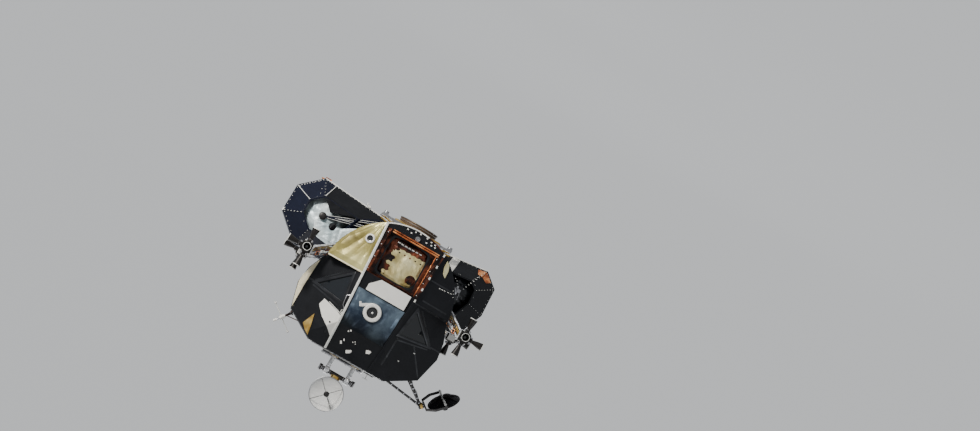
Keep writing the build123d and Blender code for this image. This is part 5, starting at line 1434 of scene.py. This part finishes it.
def makeRoof(s):
    r, top = s["tunnelR"], s["topH"]
    ring = [(r - 0.030, 0.0), (r - 0.030, 0.006), (r - 0.024, 0.012), (r + 0.004, 0.012), (r + 0.012, 0.004),
            (r + 0.012, -0.016), (r - 0.001, -0.022), (r - 0.001, 0.0), (r - 0.030, 0.0)]
    makePiece("tunnel_ring", [latheBit(ring, at(0, 0, top), (0, 0, 1), 96)], bareMetal, smooth=True)
    grip = [(r + 0.004, -0.060), (r + 0.028, -0.060), (r + 0.030, -0.052), (r + 0.010, -0.046), (r + 0.004, -0.060)]
    makePiece("tunnel_foot_ring", [latheBit(grip, at(0, 0, top), (0, 0, 1), 96)], edgeTape, smooth=True)
    boxes, heads = [], []
    for k in range(s["latches"]):
        a = 2 * pi * (k + 0.5) / s["latches"]
        d = np.array([math.cos(a), math.sin(a), 0])
        boxes.append(boxBit(at(0, 0, top - 0.002) + d * (s["boreR"] - 0.014), (0.034, 0.052, 0.022), d))
        heads += [at(0, 0, top + 0.012) + d * (r - 0.008)]
        side = np.array([-d[1], d[0], 0])
        heads += [at(0, 0, top + 0.012) + d * (r - 0.008) + side * 0.06, at(0, 0, top + 0.012) + d * (r - 0.008) - side * 0.06]
    makePiece("tunnel_latches", boxes, darkMetal, bevel=0.002)
    makePiece("tunnel_bolts", [domeBits(heads, (0, 0, 1), 0.008)], darkMetal, smooth=True)
    # drogue: raised ribs down its cone and a bright ring at the neck
    ribs = []
    for k in range(3):
        a = 2 * pi * k / 3 + 0.5
        d = np.array([math.cos(a), math.sin(a), 0])
        ribs.append(tubeBit([at(0, 0, top - 0.022) + d * 0.355, at(0, 0, top - 0.208) + d * 0.082], 0.010, 10))
    neck = [(0.070, -0.216), (0.084, -0.206), (0.088, -0.196), (0.078, -0.200), (0.068, -0.214), (0.070, -0.216)]
    ribs.append(latheBit(neck, at(0, 0, top), (0, 0, 1), 48))
    makePiece("drogue_ribs", ribs, edgeTape, smooth=True)
    x0, x1, y0, y1 = s["window"]
    band, z = 0.028, s["h"] + 0.006
    loops = []
    for grow, lift in ((-0.010, -0.030), (-0.010, 0.004), (-0.004, 0.008), (band - 0.004, 0.008), (band, 0.004), (band, -0.004)):
        corners = np.array([(x0 - grow, y0 - grow), (x1 + grow, y0 - grow), (x1 + grow, y1 + grow), (x0 - grow, y1 + grow)])
        row = np.concatenate([corners[k] + (corners[(k + 1) % 4] - corners[k]) * np.linspace(0, 1, 8, endpoint=False)[:, None]
                              for k in range(4)])
        loops.append(np.column_stack([row, np.full(len(row), thrusterZ + z + lift - 0.006)]))
    makePiece("docking_window_frame", [gridBit(np.array(loops), closeV=True)], darkMetal, smooth=True)
    rim = [at(x, y, z + 0.003) for x in np.linspace(x0, x1, 8) for y in (y0 - 0.013, y1 + 0.013)]
    makePiece("docking_window_rivets", [domeBits(rim, (0, 0, 1), 0.006)], bareMetal, smooth=True)
    # docking target: dark disc with a white cross on a short post
    tx, ty = s["target"]
    disc = [(0.0, 0.014), (0.130, 0.014), (0.136, 0.008), (0.136, -0.01), (0.0, -0.01)]
    makePiece("target_disc", [latheBit(disc[::-1], at(tx, ty, s["h"] + 0.004), (0, 0, 1), 56)], lampBlack, smooth=True)
    cross = [boxBit(at(tx, ty, s["h"] + 0.021), (0.220, 0.012, 0.004)), boxBit(at(tx, ty, s["h"] + 0.021), (0.012, 0.220, 0.004)),
             boxBit(at(tx, ty, s["h"] + 0.112), (0.110, 0.014, 0.010)), boxBit(at(tx, ty, s["h"] + 0.112), (0.014, 0.110, 0.010)),
             tubeBit([at(tx, ty, s["h"] + 0.016), at(tx, ty, s["h"] + 0.110)], 0.007, 10)]
    makePiece("target_cross", cross, whitePaint, bevel=0.001)


makeRoof(roofSet)


def quiltBit(origin, across, upward, size, normal, seed, depth, rows=26, cols=26, rim=0.10):
    # rectangular padded cover: crumpled in the middle, flat and thin at its stitched border
    v, u = np.meshgrid(np.linspace(0, 1, rows), np.linspace(0, 1, cols), indexing="ij")
    edge = np.clip(np.minimum(np.minimum(u, 1 - u), np.minimum(v, 1 - v)) / rim, 0, 1)
    puff = depth * (0.8 * np.sqrt(edge) + 0.2)
    rough = folds(u * size[0], v * size[1], seed, 0.26, depth * 0.5, 4) * edge
    across, upward, normal = (np.asarray(d, float) for d in (across, upward, normal))
    pts = (np.asarray(origin, float) + across * (u * size[0])[..., None] + upward * (v * size[1])[..., None]
           + normal * (puff + rough + 0.002)[..., None])
    if np.dot(np.cross(across, upward), normal) > 0:
        pts = pts[:, ::-1]
    return shellBit(pts, -normal * 0.003)


# aft bay: twelve covers in the rear panel's pockets, covers on its sides, beading on its edges
aftSet = {"y": 1.740, "pocketDeep": 0.016, "size": (0.396, 0.466), "pitch": (0.480, 0.560), "h": -0.060, "half": 1.130,
          "outline": ((0.890, -1.120), (1.130, -0.880), (1.130, 0.760), (0.650, 1.240))}


def makeAft(s):
    dark, bright, gold = [], [], []
    for i in range(4):
        for j in range(3):
            x = (i - 1.5) * s["pitch"][0]
            h = s["h"] + (j - 1) * s["pitch"][1]
            bit = quiltBit(at(x - s["size"][0] / 2, s["y"] - s["pocketDeep"], h - s["size"][1] / 2), (1, 0, 0), (0, 0, 1),
                           s["size"], (0, 1, 0), 200 + i * 3 + j, 0.014)
            (bright if (j == 2 and i in (1, 2)) else gold if (j == 0 and i in (0, 3)) else dark).append(bit)
    makePiece("aft_covers_dark", dark, blackFoil, smooth=True)
    makePiece("aft_covers_silver", bright, silverFoil, smooth=True)
    makePiece("aft_covers_amber", gold, amberFoil, smooth=True)
    heads = []
    for i in range(4):
        for j in range(3):
            x = (i - 1.5) * s["pitch"][0]
            h = s["h"] + (j - 1) * s["pitch"][1]
            w, t = s["size"][0] / 2 + 0.018, s["size"][1] / 2 + 0.018
            corners = [at(x - w, s["y"], h - t), at(x + w, s["y"], h - t), at(x + w, s["y"], h + t), at(x - w, s["y"], h + t)]
            for k in range(4):
                heads.append(alongLine(corners[k], corners[(k + 1) % 4], 0.085, 0.01))
    makePiece("aft_rivets", [domeBits(np.concatenate(heads), (0, 1, 0), 0.0055)], bareMetal, smooth=True)
    beads, sides = [], []
    path = [(x, h) for x, h in s["outline"]] + [(-x, h) for x, h in reversed(s["outline"])]
    for k in range(8):
        (x0, h0), (x1, h1) = path[k], path[(k + 1) % 8]
        beads.append(tubeBit([at(x0, 1.702, h0), at(x1, 1.702, h1)], 0.0075, 8))
        beads.append(tubeBit([at(x0, 0.700, h0), at(x0, 1.700, h0)], 0.0065, 8))
    makePiece("aft_beading", beads, edgeTape, smooth=True)
    for side in (1, -1):
        for k, (h0, h1) in enumerate(((-0.86, -0.36), (-0.32, 0.20), (0.24, 0.74))):
            for m, (y0, y1) in enumerate(((0.72, 1.18), (1.22, 1.68))):
                if k == 0 and m == 0:
                    continue
                sides.append(quiltBit(at(side * s["half"], y0, h0), (0, 1, 0), (0, 0, 1), (y1 - y0, h1 - h0),
                                      (side, 0, 0), 230 + k * 2 + m + (20 if side > 0 else 0), 0.012))
    makePiece("aft_side_covers", sides, blackFoil, smooth=True)
    top = []
    for k in range(3):
        top.append(quiltBit(at(-0.62 + k * 0.42, 0.74, 1.240), (1, 0, 0), (0, 1, 0), (0.40, 0.90), (0, 0, 1), 260 + k, 0.012))
    makePiece("aft_top_covers", top, blackFoil, smooth=True)


makeAft(aftSet)

# midsection: padded covers on its sides and slanted shoulders, seams on its roof
midSet = {"half": 0.900, "shoulderH": 0.980, "topHalf": 0.700, "topH": 1.440, "y": (-0.640, 0.660), "footH": -0.010}


def makeMiddle(s):
    covers, shoulders = [], []
    y0, y1 = s["y"]
    third = (y1 - y0) / 3
    slope = np.array([s["topHalf"] - s["half"], s["topH"] - s["shoulderH"]])
    length = np.linalg.norm(slope)
    for side in (1, -1):
        upward = np.array([side * slope[0], 0, slope[1]]) / length
        out = np.array([side * slope[1], 0, -slope[0]]) / length
        for k in range(3):
            for m, (h0, h1) in enumerate(((0.02, 0.48), (0.50, 0.96))):
                covers.append(quiltBit(at(side * s["half"], y0 + k * third + 0.01, h0), (0, 1, 0), (0, 0, 1),
                                       (third - 0.02, h1 - h0), (side, 0, 0), 300 + k * 4 + m + (12 if side > 0 else 0), 0.012))
            shoulders.append(quiltBit(at(side * s["half"], y0 + k * third + 0.01, s["shoulderH"]) + upward * 0.02, (0, 1, 0),
                                      upward, (third - 0.02, length - 0.04), out, 330 + k + (6 if side > 0 else 0), 0.010))
    makePiece("middle_covers", covers, blackFoil, smooth=True)
    makePiece("shoulder_covers", shoulders, greySkin, smooth=True)
    beads = []
    for side in (1, -1):
        beads.append(tubeBit([at(side * s["half"], y0 - 0.04, s["shoulderH"]), at(side * s["half"], y1 + 0.02, s["shoulderH"])],
                             0.0065, 8))
        beads.append(tubeBit([at(side * s["topHalf"], y0 - 0.04, s["topH"]), at(side * s["topHalf"], y1 + 0.02, s["topH"])],
                             0.0065, 8))
    makePiece("middle_beading", beads, edgeTape, smooth=True)
    heads = [alongLine(at(-0.66, y, s["topH"]), at(0.66, y, s["topH"]), 0.07) for y in (-0.62, 0.62)]
    heads += [alongLine(at(x, -0.60, s["topH"]), at(x, 0.60, s["topH"]), 0.07) for x in (-0.66, 0.66)]
    makePiece("roof_rivets", [domeBits(np.concatenate(heads), (0, 0, 1), 0.006)], darkMetal, smooth=True)


makeMiddle(midSet)

# cabin shell: hoop tapes round the lower cylinder and down the faceted sides, with rivets
shellSet = {"ys": (-1.420, -1.060, -0.720), "wide": 0.030, "lift": 0.003}
sideTable = ((1.280, -0.100), (1.430, 0.270), (1.480, 0.600), (1.350, 1.110), (0.790, 1.440))


def makeShell(s):
    a = np.linspace(-0.10, -pi + 0.10, 90)
    low = np.stack([np.cos(a) * cabinR, np.sin(a) * cabinR], -1)
    port = np.array(sideTable)
    hoops, heads = [], []
    for y in s["ys"]:
        if y > -1.2:
            loop = np.concatenate([port[::-1] * (1, 1), low, port * (-1, 1)])
        else:
            loop = low[(np.abs(low[:, 0]) < 1.262)]
        dense = []
        for k in range(len(loop) - 1):
            gap = np.linalg.norm(loop[k + 1] - loop[k])
            n = max(1, int(gap / 0.06))
            dense += [loop[k] + (loop[k + 1] - loop[k]) * t for t in np.linspace(0, 1, n, endpoint=False)]
        dense = np.array(dense + [loop[-1]])
        step = np.gradient(dense, axis=0)
        out = np.stack([-step[:, 1], step[:, 0]], -1)
        out /= np.linalg.norm(out, axis=1)[:, None]
        out = np.where((out * dense).sum(1)[:, None] > 0, out, -out)
        rows = []
        for dy, lift in ((-0.5, 0.0005), (-0.4, 1.0), (0.4, 1.0), (0.5, 0.0005)):
            p = dense + out * s["lift"] * lift
            rows.append(np.stack([p[:, 0], np.full(len(p), y + dy * s["wide"]), thrusterZ + p[:, 1]], -1))
        hoops.append(gridBit(np.array(rows)))
        spots = dense[::2] + out[::2] * s["lift"]
        heads.append(domeBits(np.stack([spots[:, 0], np.full(len(spots), y), thrusterZ + spots[:, 1]], -1),
                              np.stack([out[::2][:, 0], np.zeros(len(spots)), out[::2][:, 1]], -1), 0.0055))
    makePiece("cabin_hoops", hoops, blackFoil, smooth=True)
    makePiece("cabin_hoop_rivets", heads, darkMetal, smooth=True)
    # beading down the faceted sides' corners
    beads = []
    for side in (1, -1):
        for x, h in sideTable[1:]:
            front = -1.13 if x > 1.0 else -1.30
            beads.append(tubeBit([at(side * x, front, h), at(side * x, -0.700, h)], 0.006, 8))
    makePiece("side_beading", beads, greySkin, smooth=True)


makeShell(shellSet)

# underside: foil on the heat shield, hoops and lip of the bell, pad plates
baseSet = {"z": 0.040, "half": (0.490, 0.690), "hole": 0.425, "bellZ": -0.090, "bellR": 0.395}


def makeBase(s):
    n, m = 26, 120
    turn, f = np.meshgrid(np.linspace(0, 2 * pi, m, endpoint=False), np.linspace(0, 1, n), indexing="ij")
    hx, hy = s["half"][0] - 0.010, s["half"][1] - 0.010
    reach = 1 / np.maximum(np.abs(np.cos(turn)) / hx, np.abs(np.sin(turn)) / hy)
    r = (s["hole"] + 0.004) * (1 - f) + np.maximum(reach, s["hole"] + 0.012) * f
    x, y = r * np.cos(turn), r * np.sin(turn)
    edge = np.clip(np.minimum(f, 1 - f) * 8, 0, 1)
    drop = 0.003 + (folds(x, y, 401, 0.30, 0.008, 4) + 0.008) * edge
    pts = np.stack([x, y, s["z"] - drop], -1)
    makePiece("base_foil", [gridBit(pts, closeU=True)], goldFoil, smooth=True)
    # the bell's wall is an arc through its neck, belly and mouth; the hoops follow it
    neck, belly, mouth = (0.074, 0.680), (0.262, 0.357), (s["bellR"], s["bellZ"])
    a = np.array([[2 * (belly[0] - neck[0]), 2 * (belly[1] - neck[1])], [2 * (mouth[0] - neck[0]), 2 * (mouth[1] - neck[1])]])
    b = np.array([belly[0] ** 2 + belly[1] ** 2 - neck[0] ** 2 - neck[1] ** 2,
                  mouth[0] ** 2 + mouth[1] ** 2 - neck[0] ** 2 - neck[1] ** 2])
    cx, cz = np.linalg.solve(a, b)
    arc = math.hypot(neck[0] - cx, neck[1] - cz)
    hoops = []
    for z in (-0.082, -0.040, 0.020, 0.100):
        r = cx + math.copysign(math.sqrt(arc ** 2 - (z - cz) ** 2), neck[0] - cx)
        t = np.linspace(0, 2 * pi, 72, endpoint=False)
        path = np.stack([np.cos(t) * (r + 0.002), np.sin(t) * (r + 0.002), np.full_like(t, z)], -1)
        hoops.append(tubeBit(path, 0.0065 if z > -0.08 else 0.009, 8, closed=True))
    makePiece("bell_hoops", hoops, bareMetal, smooth=True)
    covers = []
    for side in (1, -1):
        for k in range(2):
            covers.append(quiltBit((side * 0.490, -0.62 + k * 0.63, 0.10), (0, 1, 0), (0, 0, 1), (0.60, 0.50), (side, 0, 0),
                                   420 + k + (5 if side > 0 else 0), 0.010))
    makePiece("engine_bay_covers", covers, goldFoil, smooth=True)
    plates = [boxBit((x, y, 0.104), (0.120, 0.120, 0.008)) for x in (-0.686, 0.686) for y in (-0.630, 0.630)]
    heads = [(x + dx, y + dy, 0.108) for x in (-0.686, 0.686) for y in (-0.630, 0.630) for dx in (-0.045, 0.045)
             for dy in (-0.045, 0.045)]
    makePiece("pad_plates", plates, whitePaint, bevel=0.0015)
    makePiece("pad_bolts", [domeBits(heads, (0, 0, 1), 0.009)], bareMetal, smooth=True)


makeBase(baseSet)
print("roof, aft, middle, shell and base made")
